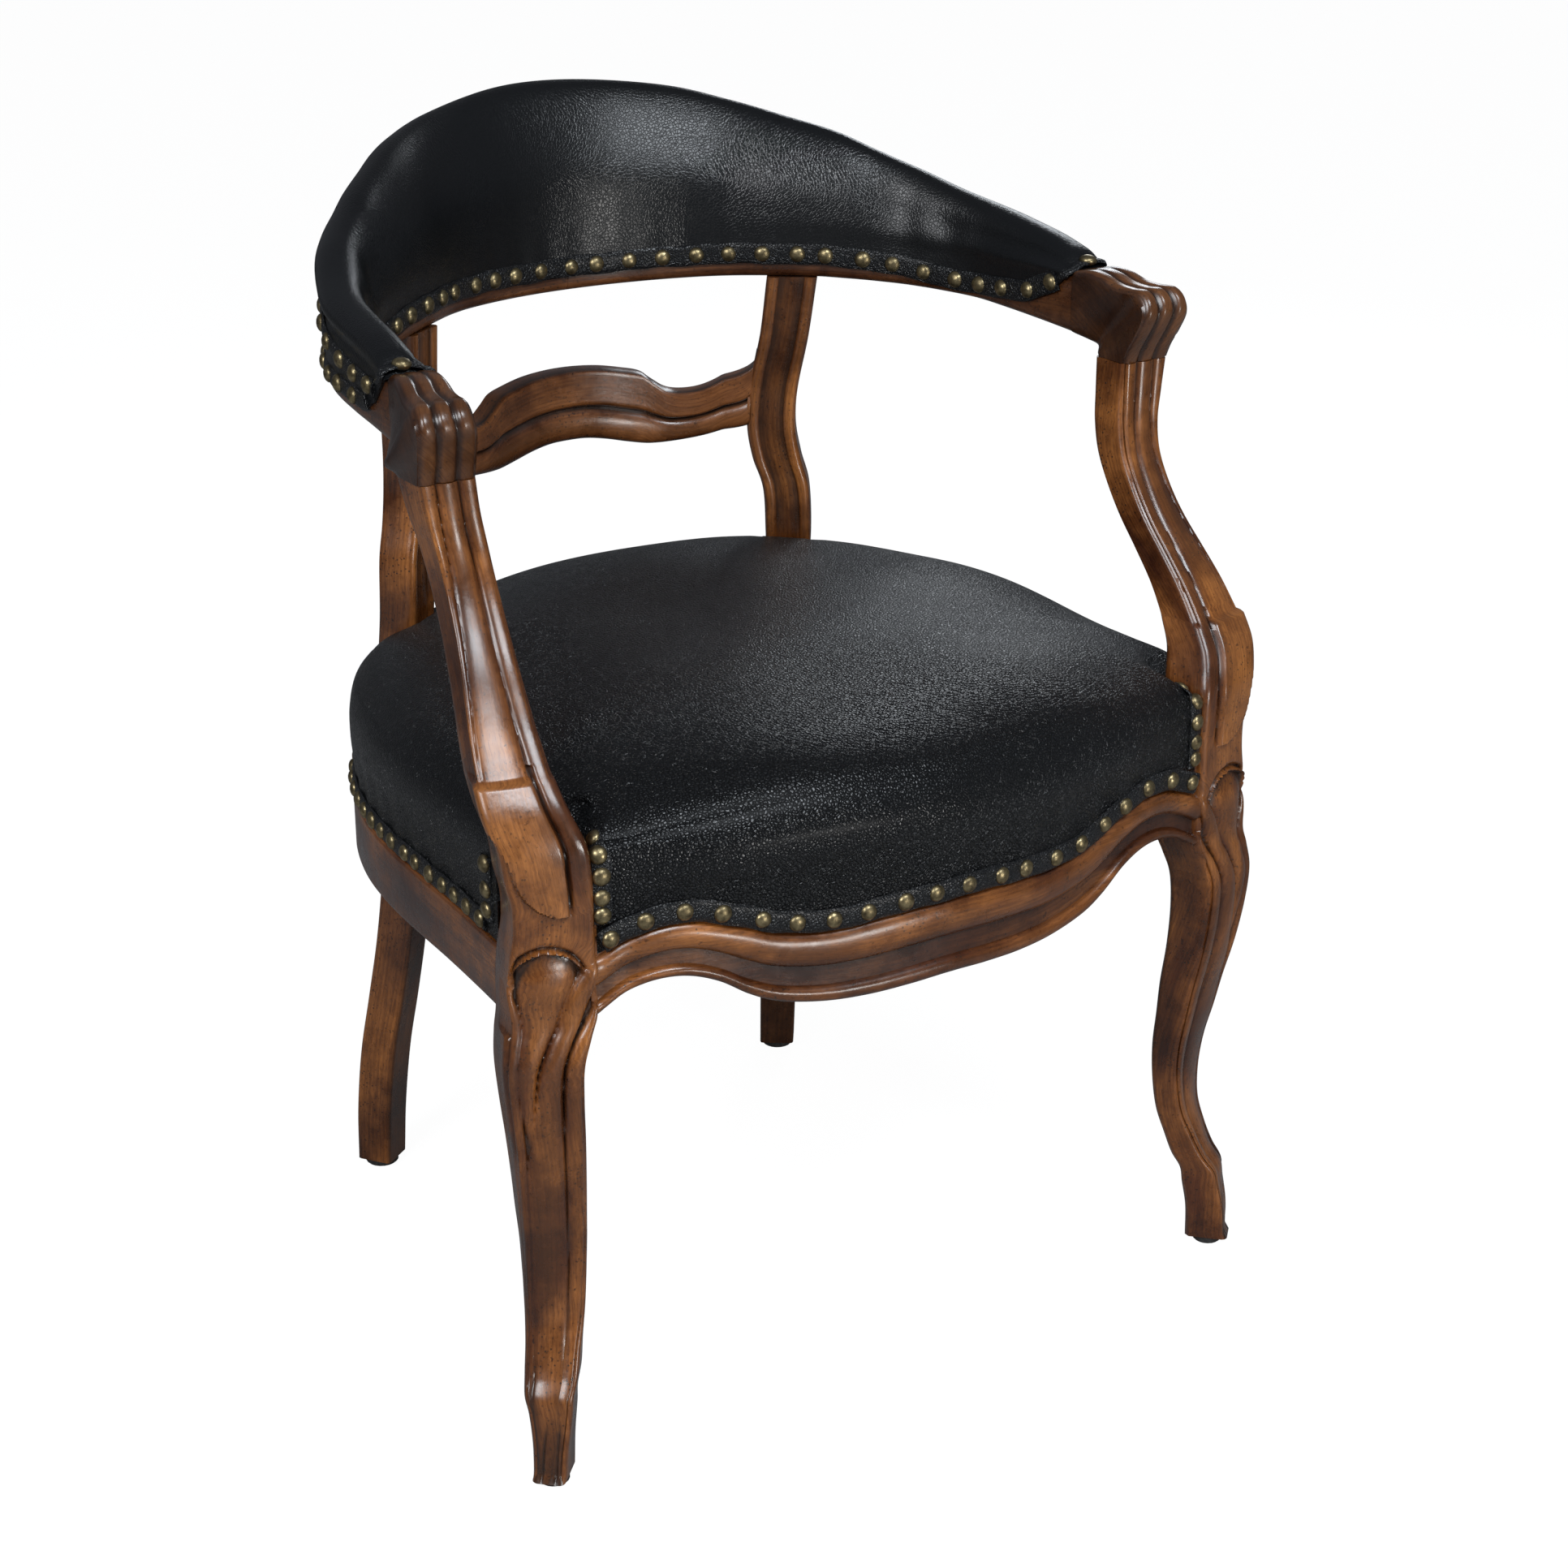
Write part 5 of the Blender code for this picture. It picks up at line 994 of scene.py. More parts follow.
def slat_grid():
    rows = smooth_rows(mirrored(SLAT), 181)
    stile = smooth_rows(REAR_LEG, 34)
    stile_face = stile[:, 1:3] @ REAR_EX - stile[:, 3] / 2
    t = np.linspace(0.0, 1.0, 40)
    band = portion(t, SLAT_GROOVE, 0.05) ** 0.5 * (1 - 0.15 * (t - 0.5))
    band *= portion(t, 1.0, -0.03) ** 0.5
    cut = SLAT_CUT * (1 - np.maximum(half_round(t, 0.22, 0.22), 0.86 * band))
    cut = np.where(t > 0.97, np.minimum(cut, 0.004), cut)
    grid = []
    for index, (x, low, top) in enumerate(rows):
        high = top - low
        behind = [(SLAT_DEPTH * 0.6, top + 0.0004), (SLAT_DEPTH - 0.001, top), (SLAT_DEPTH, top - 0.002),
                  (SLAT_DEPTH, low + high * 0.6), (SLAT_DEPTH, low + high * 0.3), (SLAT_DEPTH, low + 0.002),
                  (SLAT_DEPTH - 0.001, low), (SLAT_DEPTH * 0.6, low)]
        section = np.vstack([np.column_stack([cut, low + high * t]), behind])
        back = unit(np.array([2 * SLAT_SWEEP * x / SLAT_HALF ** 2, 1.0]))
        plan = np.array([x, SLAT_MID_Y - SLAT_SWEEP * (x / SLAT_HALF) ** 2]) + back * section[:, :1]
        # Towards its ends the slat is stretched to the inner faces of the stiles
        to_stile = REAR_EX * np.array([1.0 if x > 0 else -1.0, 1.0])
        move = np.interp(section[:, 1], stile[:, 0], stile_face) - FIT_GAP - plan @ to_stile
        if 0 < index < len(rows) - 1:
            share = (abs(x) - STRETCH_FROM) / (SLAT_HALF - STRETCH_FROM)
            move = (move + SLAT_HALF - abs(x)) * max(0.0, share)
        grid.append(np.column_stack([plan + move[:, None] * to_stile, section[:, 1]]))
    # The groove is painted darker and the band and moulding paler, as dark polish and painted shade
    depth = np.concatenate([0.6 - 2.0 * cut / SLAT_CUT, np.zeros(len(behind))])
    return np.array(grid), np.clip(np.tile(depth, (len(rows), 1)), -1, 1)


slat_surface, slat_depth = slat_grid()
slat = skin("back_slat_moulded", slat_surface, wood_slat, carve=slat_depth)
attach(slat, "root")
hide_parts("back_splat")
print("wooden pieces made")

# %% [markdown]
# Back upholstery. One padded roll follows the hoop. Its section is drawn once for each
# station: up the inner face, over the crown, down the outer face. At the arm ends the leather
# is cut on a slant and drawn up to a last nail. Soft folds and a pull at every nail are added
# as small moves of the points along the surface.

# %% Section of the padded back
ROLL_HALF = 0.0240
ROLL_HALF_ARM = 0.0150
FACE = HOOP_WIDTH / 2 + FIT_GAP + LEATHER
# station 0 at the arm to 13 in the middle: middle of the inside nail row above the wood's underside
INSIDE_ROW = [(0.0, 0.0400), (0.5, 0.0300), (1.2, 0.0205), (2.2, 0.0150), (2.9, 0.0125), (3.9, 0.0120),
              (4.8, 0.0138), (5.8, 0.0160), (8.0, 0.0175), (13.0, 0.0180)]
# height of the upper outside row, and of the lower one above the wood's underside
OUTSIDE_HIGH = [(0.0, 0.6830), (1.0, 0.6845), (2.0, 0.6880), (3.0, 0.6955), (4.0, 0.7035), (5.0, 0.7090),
                (7.0, 0.7165), (9.0, 0.7230), (13.0, 0.7340)]
OUTSIDE_LOW = [(0.0, 0.0270), (0.8, 0.0180), (1.6, 0.0155), (3.0, 0.0150), (13.0, 0.0150)]
INSIDE_WIDTH = 0.0150
OUTSIDE_WIDTH = 0.0120
SKIN_POINTS = 96
END_PINCH = 0.80
# how far from its end the leather is slanted, how far it steps back, and below which height
SLANT_LENGTH = 0.060
SLANT_STEP = 0.024
SLANT_BELOW = 0.7005


def table(rows, values):
    fine = smooth_rows(rows, 20 * len(rows))
    return np.interp(values, fine[:, 0], fine[:, 1])


station = share_along * (len(HOOP) - 1)
inside_row_z = hoop[:, 2] + table(INSIDE_ROW, station)
high_row_z = table(OUTSIDE_HIGH, station)
low_row_z = hoop[:, 2] + table(OUTSIDE_LOW, station)
hoop_run = run_of(hoop[:, :2])


def curve_through(points, count):
    """Catmull-Rom curve through 2-D points at even arc lengths."""
    dense = smooth_rows(points, 20 * len(points))
    run = run_of(dense)
    want = np.linspace(0, run[-1], count)
    return np.stack([np.interp(want, run, column) for column in dense.T], -1)


def back_section(index):
    under, height, ridge, lean, outer = hoop[index, 2:7]
    wood = under + height
    fill = ridge - wood
    drop = ridge - outer
    full = ROLL_HALF_ARM + (ROLL_HALF - ROLL_HALF_ARM) * min(1.0, station[index] / 10.7)
    outward = max(0.0, 0.4 * lean * (outer - wood) / max(0.01, fill))
    start = inside_row_z[index] - INSIDE_WIDTH / 2 + 0.0005
    inner = [(-FACE, start), (-FACE, (start + wood) / 2), (-FACE, max(wood - 0.0005, start + 0.002))]
    over = [(-FACE - 0.0010 + lean * 0.10, wood + fill * 0.20),
            (-full * 0.78 + lean * 0.35, wood + fill * 0.47),
            (-full * 0.68 + lean * 0.75, wood + fill * 0.74),
            (-full * 0.42 + lean, wood + fill * 0.93), (lean, ridge),
            (full * 0.50 + lean, outer + drop * 0.93), (full * 0.84 + lean, outer + drop * 0.74),
            (full * 0.92 + lean * 0.85, outer + drop * 0.45),
            (max(FACE, full * 0.80 + lean * 0.5), outer + drop * 0.18), (FACE + outward, outer)]
    low = low_row_z[index] - OUTSIDE_WIDTH / 2 + 0.0008
    down = [(FACE + outward * 0.5, (outer * 2 + low) / 3), (FACE + outward * 0.1, (outer + low * 2) / 3),
            (FACE, low)]
    bare = HOOP_WIDTH / 2 + FIT_GAP
    lining = [(bare, low), (bare, wood + FIT_GAP), (0.0, wood + FIT_GAP), (-bare, wood + FIT_GAP),
              (-bare, min(start, wood))]
    return np.vstack([curve_through(inner + over + down, SKIN_POINTS), lining])


def from_end(index):
    return min(hoop_run[index], hoop_run[-1] - hoop_run[index])


def cut_back(index, heights):
    """At the arm end the lower part of the leather stops short, further back than the top."""
    near = max(0.0, 1 - from_end(index) / SLANT_LENGTH) ** 1.5
    low = smooth_step(portion(heights, SLANT_BELOW, -0.032))
    away = 1.0 if index < len(hoop) / 2 else -1.0
    return hoop_tangent[index] * away * (SLANT_STEP * near * low)[..., None]


def slanted(index, section):
    ring = on_hoop(index, section, 0.0)
    ring[:, :2] += cut_back(index, ring[:, 2])
    # The last few millimetres are drawn down onto the wood
    pinch = END_PINCH * max(0.0, 1 - from_end(index) / 0.016) ** 2
    wood = hoop[index, 2] + hoop[index, 3]
    ring[:, 2] -= np.maximum(ring[:, 2] - wood, 0.0) * pinch
    return ring


def surface_normals(grid):
    """Unit normals of a grid of rings, pointing to the left of its two directions."""
    return unit(np.cross(np.gradient(grid, axis=0), np.gradient(grid, axis=1)))


def soft_folds(run, height, seed, waves):
    """Sum of slow random waves, between about -1 and 1."""
    rng = np.random.default_rng(seed)
    total = np.zeros(np.broadcast(run, height).shape)
    for wave in range(waves):
        kx, kz = rng.uniform(12, 60), rng.uniform(8, 50)
        slant = rng.choice([-1, 1])
        start = rng.uniform(0, 6.28)
        total += math.sqrt(1.0 / waves) * np.sin(run * kx + height * kz * slant + start)
    return total


back_sections = [back_section(k) for k in range(len(hoop))]
back_grid = np.array([slanted(k, back_sections[k]) for k in range(len(hoop))])
normals = surface_normals(back_grid)
if np.einsum("ij,ij->i", normals[:, 30], back_grid[:, 30] - hoop[:, :3]).mean() < 0:
    normals = -normals

# %% Folds of the back leather
# where along the hoop, how wide and how deep each fold of the inner side is
SIDE_FOLDS = [(0.118, 0.010, -0.0030), (0.140, 0.008, 0.0016), (0.163, 0.012, -0.0020)]
NAIL_PITCH = 0.0285
run_on = hoop_run[:, None]
over_skin = np.linspace(0, 1, SKIN_POINTS)[None, :]
folds = soft_folds(run_on, over_skin * 0.24, 11, 9) * 0.0009 * np.sin(over_skin * math.pi) ** 0.8
edge_pull = np.exp(-np.minimum(over_skin, 1 - over_skin) / 0.07) * (over_skin > 0.03) * (over_skin < 0.97)
pull = 0.0007 * edge_pull * np.sin(run_on * 2 * math.pi / NAIL_PITCH + 0.6)
tucks = np.zeros((len(hoop), 1))
for where, wide, deep in SIDE_FOLDS:
    tucks += deep * bell(run_on, hoop_run[-1] - where, wide)
    tucks += deep * 0.5 * bell(run_on, where * 1.07, wide * 1.2)
move = folds + pull + tucks * bell(over_skin, 0.26, 0.10)
back_grid[:, :SKIN_POINTS] += normals[:, :SKIN_POINTS] * move[:, :, None]
padded_back = skin("back_leather", back_grid, hide_back, sharp=60)
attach(padded_back, "root")
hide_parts("back_padding", "back_cover_inside", "back_cover_outside")
print("back", len(padded_back.data.vertices), "points")

# %% [markdown]
# Seat upholstery. The leather starts at the rails, rises as a short wall with a bulge, turns
# over a soft shoulder and climbs to a low crown. It is cut round the four legs. Near a leg
# the shoulder is lower, because the leather is pulled down to the nails there.

# %% Seat outline
LEATHER_FACE = REBATE - 0.0009 - LEATHER
OVER_RAIL = 0.0012
NOTCH_FOOT = RAIL_TOP + 0.0005
SEAT_CENTRE = np.array([0.0, -0.080])
# middle of the front and the rear notch, right side
FRONT_CORNER = (0.240, -0.262)
REAR_CORNER = (0.172, 0.118)
side_fine = smooth_rows(SIDE_RAIL, 90)
side_tangent = unit(np.gradient(side_fine, axis=0))
side_leather = side_fine + np.stack([-side_tangent[:, 1], side_tangent[:, 0]], -1) * LEATHER_FACE


def straight(a, b, count):
    """Points from a towards b, without b."""
    return [tuple(np.array(a) + (np.array(b) - np.array(a)) * k / count) for k in range(count)]


def notch(corners, counts):
    """Outline of a cut round a leg, from corners in plan."""
    rows = [(x, y, NOTCH_FOOT, 0.0) for x, y in corners]
    cut = [row for a, b, count in zip(rows[:-1], rows[1:], counts) for row in straight(a, b, count)]
    return cut + [rows[-1]]


def half_outline():
    """Right half in plan as rows of x, y, lower edge, kept (1) or cut round a leg (0)."""
    low = SIDE_RAIL_VISIBLE + OVER_RAIL
    rows = [(x, rail_front_y(x) + LEATHER_FACE, rail_edges(x)[1] + OVER_RAIL, 1.0)
            for x in np.linspace(0, 0.2200, 62)]
    corner = (0.2360, -0.2757, float(rail_edges(0.2360)[1]) + OVER_RAIL, 1.0)
    rows += straight(rows[-1], corner, 5)[1:] + [corner]
    rows += notch([(0.2367, -0.2753), (0.2272, -0.2410), (0.2764, -0.2253)], (9, 11))
    rows += straight((0.2763, -0.2235, low, 1.0), (0.2749, -0.2085, low, 1.0), 4)
    rows += [(x, y, low, 1.0) for x, y in side_leather[13:81]]
    rows += notch([(0.2008, 0.1100), (0.1900, 0.1120), (0.1660, 0.0965), (0.1375, 0.1150), (0.1490, 0.1335),
                   (0.1490, rear_face_y(0.1490) - LEATHER_FACE)], (7, 7, 7, 7, 7))
    rows += [(x, rear_face_y(x) - LEATHER_FACE, low, 1.0) for x in np.linspace(0.1450, 0.0, 36)]
    return np.array(rows)


def corner_distance(corner):
    """Distance of the outline from a notch, on whichever side is nearer."""
    return np.hypot(np.abs(outline[:, 0]) - corner[0], outline[:, 1] - corner[1])


right_rows = half_outline()
outline = np.vstack([right_rows, right_rows[-2:0:-1] * np.array([-1, 1, 1, 1])])
spoke = outline[:, :2] - SEAT_CENTRE
turn = np.arctan2(spoke[:, 1], spoke[:, 0])
reach = np.hypot(spoke[:, 0], spoke[:, 1])
kept = outline[:, 3] > 0.5
order = np.argsort(turn[kept])
bridged = np.interp(turn, turn[kept][order], reach[kept][order], period=2 * math.pi)
front_corner = corner_distance(FRONT_CORNER)
rear_corner = corner_distance(REAR_CORNER)
free = portion(front_corner, 0.025, 0.06) * portion(rear_corner, 0.030, 0.06)
near_front = bell(front_corner, 0.0, 0.085)
near_rear = bell(rear_corner, 0.0, 0.060)
outline_run = run_of(outline[:, :2])

# %% Seat leather
# share of the outline, height above the top of the rails, bulge
SEAT_PROFILE = [
    (1.0000, 0.0045, 0.0020), (1.0000, 0.0100, 0.0038), (1.0000, 0.0180, 0.0055), (0.9990, 0.0270, 0.0062),
    (0.9960, 0.0360, 0.0055), (0.9900, 0.0445, 0.0035), (0.9800, 0.0520, 0.0015), (0.9640, 0.0582, 0.0),
    (0.9400, 0.0640, 0.0), (0.9050, 0.0695, 0.0), (0.8550, 0.0752, 0.0), (0.7800, 0.0815, 0.0),
    (0.6600, 0.0885, 0.0), (0.5000, 0.0942, 0.0), (0.3400, 0.0978, 0.0), (0.1800, 0.0997, 0.0),
    (0.0500, 0.1003, 0.0),
]
WALL_FOOT = RAIL_TOP + 0.0045
CUT_CLOSES_FROM = 0.418
CUT_CLOSES_OVER = 0.030
CUT_CLOSES_FRONT = 0.32
CUT_CLOSES_REAR = 0.16
PLEAT_PITCH = 0.0315
HESSIAN_TOP = RAIL_TOP + 0.0003 + 0.0014
side_on = portion(np.abs(spoke[:, 0] / reach), 0.55, 0.3)


def seat_ring(share, z, bulge=0.0, shrink=0.0):
    """z None keeps the lower edge of the leather; low share forgets the cuts round the legs."""
    fade = smooth_step(portion(share, 0.975, -0.12))
    if z is not None:
        # Higher up the leather lies against the post, which leans away from the cut
        closes = np.where(outline[:, 1] < 0, CUT_CLOSES_FRONT, CUT_CLOSES_REAR)
        fade = np.maximum(fade, closes * portion(z, CUT_CLOSES_FROM, CUT_CLOSES_OVER))
    r = reach + (bridged - reach) * fade
    k = share + (bulge * free * (1 - 0.6 * side_on) - shrink) / r
    xy = SEAT_CENTRE + spoke / reach[:, None] * (r * k)[:, None]
    if z is None:
        return np.column_stack([xy, outline[:, 2]])
    inside = portion(share, 1.0, -0.03)
    height = z - (0.0070 * near_front + 0.0060 * near_rear) * inside * portion(share, 0.45, 0.45)
    low_side = bell(np.abs(xy[:, 0]), 0.26, 0.07) * portion(share, 1.0, -0.02)
    high_rear = bell(xy[:, 0], 0.0, 0.11) * portion(xy[:, 1], -0.02, 0.09) * inside
    return np.column_stack([xy, height - 0.0055 * low_side + 0.0050 * high_rear])


seat_rings = [seat_ring(1.0, None)]
for step in (0.34, 0.67):
    ring = seat_ring(1.0, None, 0.0006 * step)
    ring[:, 2] += (WALL_FOOT - ring[:, 2]) * step
    seat_rings.append(ring)
seat_rings += [seat_ring(s, RAIL_TOP + z, b) for s, z, b in smooth_rows(SEAT_PROFILE, 104)]
seat_grid = np.array(seat_rings)
seat_normals = surface_normals(seat_grid)
if seat_normals[60, :, 2].mean() < 0:
    seat_normals = -seat_normals

# %% Pleats, creases and the hollow of the seat
down = np.arange(len(seat_rings))[:, None]
seat_x, seat_y = seat_grid[:, :, 0], seat_grid[:, :, 1]
rng = np.random.default_rng(5)
slow = np.zeros_like(seat_x)
for wave in range(12):
    kx, ky = rng.uniform(-38, 38, 2)
    slow += np.sin(seat_x * kx + seat_y * ky + rng.uniform(0, 6.28)) * 0.00042
pleat = np.sin(outline_run * 2 * math.pi / PLEAT_PITCH + 1.5 * np.sin(outline_run * 9)) * 0.00075 * free
crease = -0.0011 * bell(seat_x, 0.0445, 0.0016) * bell(down, 9, 9.0) * (seat_y < -0.2)
hollow = -0.0030 * bell(seat_x, 0.01, 0.11) * bell(seat_y, -0.03, 0.10)
move = pleat[None, :] * bell(down, 2, 10.0) + crease + (slow + hollow) * portion(down, 12, 20.0)
move *= np.minimum(1.0, down / 2.0)
seat_grid += seat_normals * move[:, :, None]

# %% Seat leather as a closed piece
lining = [seat_ring(1.0, None, 0.0, LEATHER), seat_ring(1.0, RAIL_TOP + 0.0030, 0.0, LEATHER + 0.0025)]
for share in (0.995, 0.80, 0.50, 0.20, 0.03):
    ring = seat_ring(share, HESSIAN_TOP + 0.0006, 0.0, 0.0035)
    ring[:, 2] = HESSIAN_TOP + 0.0006
    lining.append(ring)
padded_seat = skin("seat_leather", np.concatenate([seat_grid[::-1], np.array(lining)]), hide_seat, sharp=70)
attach(padded_seat, "root")
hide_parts("seat_cover", "seat_stuffing")
print("seat", len(padded_seat.data.vertices), "points")

# %% [markdown]
# Nailed strips. A narrow strip of the same leather covers each raw edge, held by a row of
# domed brass nails. The strip is drawn along its path. The nails come from Geometry Nodes:
# loose points carry the outward direction, a low dome is set on each, a little unevenly, as
# hand-driven nails are.

# %% Nail row in Geometry Nodes
nails = bpy.data.node_groups.new("nail_row", "GeometryNodeTree")
for label, kind in (("Geometry", "NodeSocketGeometry"), ("Head radius", "NodeSocketFloat"),
                    ("Head height", "NodeSocketFloat"), ("Unevenness", "NodeSocketFloat"),
                    ("Seed", "NodeSocketInt"), ("Leather", "NodeSocketMaterial"),
                    ("Brass", "NodeSocketMaterial")):
    nails.interface.new_socket(label, in_out="INPUT", socket_type=kind)
nails.interface.new_socket("Geometry", in_out="OUTPUT", socket_type="NodeSocketGeometry")


def in_use(sockets, name="Value"):
    """Of the sockets that share a name, the one for the data type in use."""
    return [item for item in sockets if item.enabled and item.name == name][0]


def step_of(kind, before, **settings):
    """Next step of a chain that passes geometry on."""
    return node(nails, "GeometryNode" + kind, {"Geometry": before}, **settings)


source = node(nails, "NodeGroupInput").outputs
marked = node(nails, "GeometryNodeInputNamedAttribute", {"Name": "nail"}, data_type="FLOAT")
parted = step_of("SeparateGeometry", source["Geometry"], domain="POINT")
feed(nails, parted, {"Selection": marked.outputs["Attribute"]})
outward = node(nails, "GeometryNodeInputNamedAttribute", {"Name": "out"}, data_type="FLOAT_VECTOR")
tilt = node(nails, "FunctionNodeRandomValue",
            {"Min": (-0.10, -0.10, -0.10), "Max": (0.10, 0.10, 0.10), "Seed": source["Seed"]},
            data_type="FLOAT_VECTOR")
leaning = node(nails, "ShaderNodeVectorMath", {0: outward.outputs["Attribute"], 1: in_use(tilt.outputs)},
               operation="ADD")
facing = node(nails, "FunctionNodeAlignRotationToVector", {"Vector": leaning.outputs[0]}, axis="Z")
head = node(nails, "GeometryNodeMeshUVSphere", {"Segments": 14, "Rings": 8, "Radius": source["Head radius"]})
shape = node(nails, "ShaderNodeCombineXYZ", {"X": 1.0, "Y": 1.0, "Z": source["Head height"]})
flatter = step_of("Transform", head.outputs["Mesh"])
feed(nails, flatter, {"Scale": shape.outputs[0]})
less = node(nails, "ShaderNodeMath", {0: 1.0, 1: source["Unevenness"]}, operation="SUBTRACT")
more = node(nails, "ShaderNodeMath", {0: 1.0, 1: source["Unevenness"]}, operation="ADD")
spread = node(nails, "FunctionNodeRandomValue", {"Seed": source["Seed"]}, data_type="FLOAT")
nails.links.new(less.outputs[0], in_use(spread.inputs, "Min"))
nails.links.new(more.outputs[0], in_use(spread.inputs, "Max"))
stamp = node(nails, "GeometryNodeInstanceOnPoints",
             {"Points": parted.outputs["Selection"], "Instance": flatter.outputs["Geometry"],
              "Rotation": facing.outputs["Rotation"], "Scale": in_use(spread.outputs)})
real = step_of("RealizeInstances", stamp.outputs["Instances"])
smooth = step_of("SetShadeSmooth", real.outputs["Geometry"])
golden = step_of("SetMaterial", smooth.outputs["Geometry"])
feed(nails, golden, {"Material": source["Brass"]})
dark = step_of("SetMaterial", parted.outputs["Inverted"])
feed(nails, dark, {"Material": source["Leather"]})
both = step_of("JoinGeometry", dark.outputs["Geometry"])
feed(nails, both, {"Geometry": golden.outputs["Geometry"]})
node(nails, "NodeGroupOutput", {"Geometry": both.outputs["Geometry"]})
SOCKETS = {item.name: item.identifier for item in nails.interface.items_tree if item.in_out == "INPUT"}

# %% Strips along a path
NAIL_RADIUS = 0.0059
HEAD_HEIGHT = 0.62
UNEVENNESS = 0.05
HEAD_SINK = 0.0012
STRIP_THICK = 0.0016
STRIP_SWELL = 0.0007
STRIP_LIFT = 0.0006
RING_STEP = 0.0022


def along_path(path, values, distance):
    run = run_of(path)
    return np.stack([np.interp(distance, run, column) for column in values.T], -1)


def nailed_strip(name, path, outs, ups, width, spots, solid, seed, radius=NAIL_RADIUS):
    """Leather strip on a surface; spots are the shares of its length where nails sit."""
    outs = unit(outs)
    length = run_of(path)[-1]
    count = max(12, int(length / RING_STEP))
    distance = np.linspace(0, length, count)
    centre = along_path(path, path, distance)
    out = unit(along_path(path, outs, distance))
    up = unit(along_path(path, ups, distance))
    nail_run = np.array(spots) * length
    press = bell(np.abs(distance[:, None] - nail_run[None, :]).min(axis=1), 0.0, 0.0055)
    ripple = np.sin(distance * 210 + seed) * 0.5 + np.sin(distance * 97 + seed * 2.3) * 0.5
    across = np.linspace(-1, 1, 11)
    top = [STRIP_THICK * (1.0 - 0.65 * abs(t) ** 6) + STRIP_SWELL * (1 - t * t) * (1 - 1.5 * press)
           for t in across]
    under = [np.full(count, -0.0002)] * 3
    face = []
    for t, high in zip([*across, 1.0, 0.0, -1.0], top + under):
        side = t * width / 2 + 0.0006 * ripple * abs(t)
        face.append(centre + up * side[:, None] + out * high[:, None])
    worn = np.tile(np.concatenate([np.abs(across) ** 5, [0.6, 0.0, 0.6]]), (count, 1))
    piece = skin(name, np.stack(face, axis=1), hide_strip, carve=worn, sharp=55)
    # Loose points with their outward direction mark the nails for Geometry Nodes
    mesh = piece.data
    base = len(mesh.vertices)
    spots_out = unit(along_path(path, outs, nail_run))
    spots_at = along_path(path, path, nail_run) + spots_out * HEAD_SINK + np.array([0.0, DEPTH_SHIFT, 0.0])
    mesh.vertices.add(len(nail_run))
    for index, place in enumerate(spots_at):
        mesh.vertices[base + index].co = place
    marks = np.zeros(len(mesh.vertices), np.float32)
    marks[base:] = 1.0
    mesh.attributes.new("nail", "FLOAT", "POINT").data.foreach_set("value", marks)
    heads = np.zeros((len(mesh.vertices), 3), np.float32)
    heads[base:] = spots_out
    mesh.attributes.new("out", "FLOAT_VECTOR", "POINT").data.foreach_set("vector", heads.reshape(-1))
    row = piece.modifiers.new("nails", "NODES")
    row.node_group = nails
    for label, value in (("Head radius", radius), ("Head height", HEAD_HEIGHT), ("Unevenness", UNEVENNESS),
                         ("Seed", seed), ("Leather", hide_strip), ("Brass", brass_nail)):
        row[SOCKETS[label]] = value
    bpy.context.view_layer.update()
    graph = bpy.context.evaluated_depsgraph_get()
    finished = bpy.data.meshes.new_from_object(piece.evaluated_get(graph))
    piece.modifiers.clear()
    piece.data = finished
    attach(piece, "root")
    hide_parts(solid)
    return piece


def even(count, jitter, seed, first=0.5):
    """Shares of a length for count nails, each a little off its even place."""
    rng = np.random.default_rng(seed)
    pitch = 1.0 / (count - 1 + 2 * first)
    return (first + np.arange(count) + rng.uniform(-jitter, jitter, count)) * pitch


def upright(path, outs):
    """The direction across a strip that points up, square to its path and its face."""
    ups = np.cross(outs, unit(np.gradient(path, axis=0)))
    return ups * np.sign(ups[:, 2:3])


def on_profile(index, height, outer_side):
    """Offset and slope of the back leather at a height, on its inner or outer side."""
    line = back_sections[index][:SKIN_POINTS]
    top = int(np.argmax(line[:, 1]))
    part = line[top:] if outer_side else line[:top + 1]
    part = part[np.argsort(part[:, 1])]
    offset, above, below = np.interp([height, height + 0.004, height - 0.004], part[:, 1], part[:, 0])
    return offset, (above - below) / 0.008


def hoop_strip(name, heights, outer_side, width, spots, solid, seed, trim=2):
    path, outs = [], []
    side = 1.0 if outer_side else -1.0
    for k in range(trim, len(hoop) - trim):
        offset, lean = on_profile(k, heights[k], outer_side)
        out = hoop_out[k]
        plan = hoop[k, :2] + out * offset + cut_back(k, heights[k:k + 1])[0]
        path.append((*plan, heights[k]))
        outs.append((side * out[0], side * out[1], -side * lean))
    path, outs = np.array(path), unit(np.array(outs))
    return nailed_strip(name, path, outs, upright(path, outs), width, spots, solid, seed)


# %% Strips round the back
hoop_strip("inside_strip", inside_row_z, False, INSIDE_WIDTH, even(33, 0.12, 3, 0.35), "back_band_inside", 3)
hoop_strip("outside_high_strip", high_row_z, True, OUTSIDE_WIDTH, even(35, 0.10, 4, 0.3),
           "back_band_outer_high", 4)
hoop_strip("outside_low_strip", low_row_z, True, OUTSIDE_WIDTH, even(33, 0.10, 5, 0.9),
           "back_band_outer_low", 5, 5)

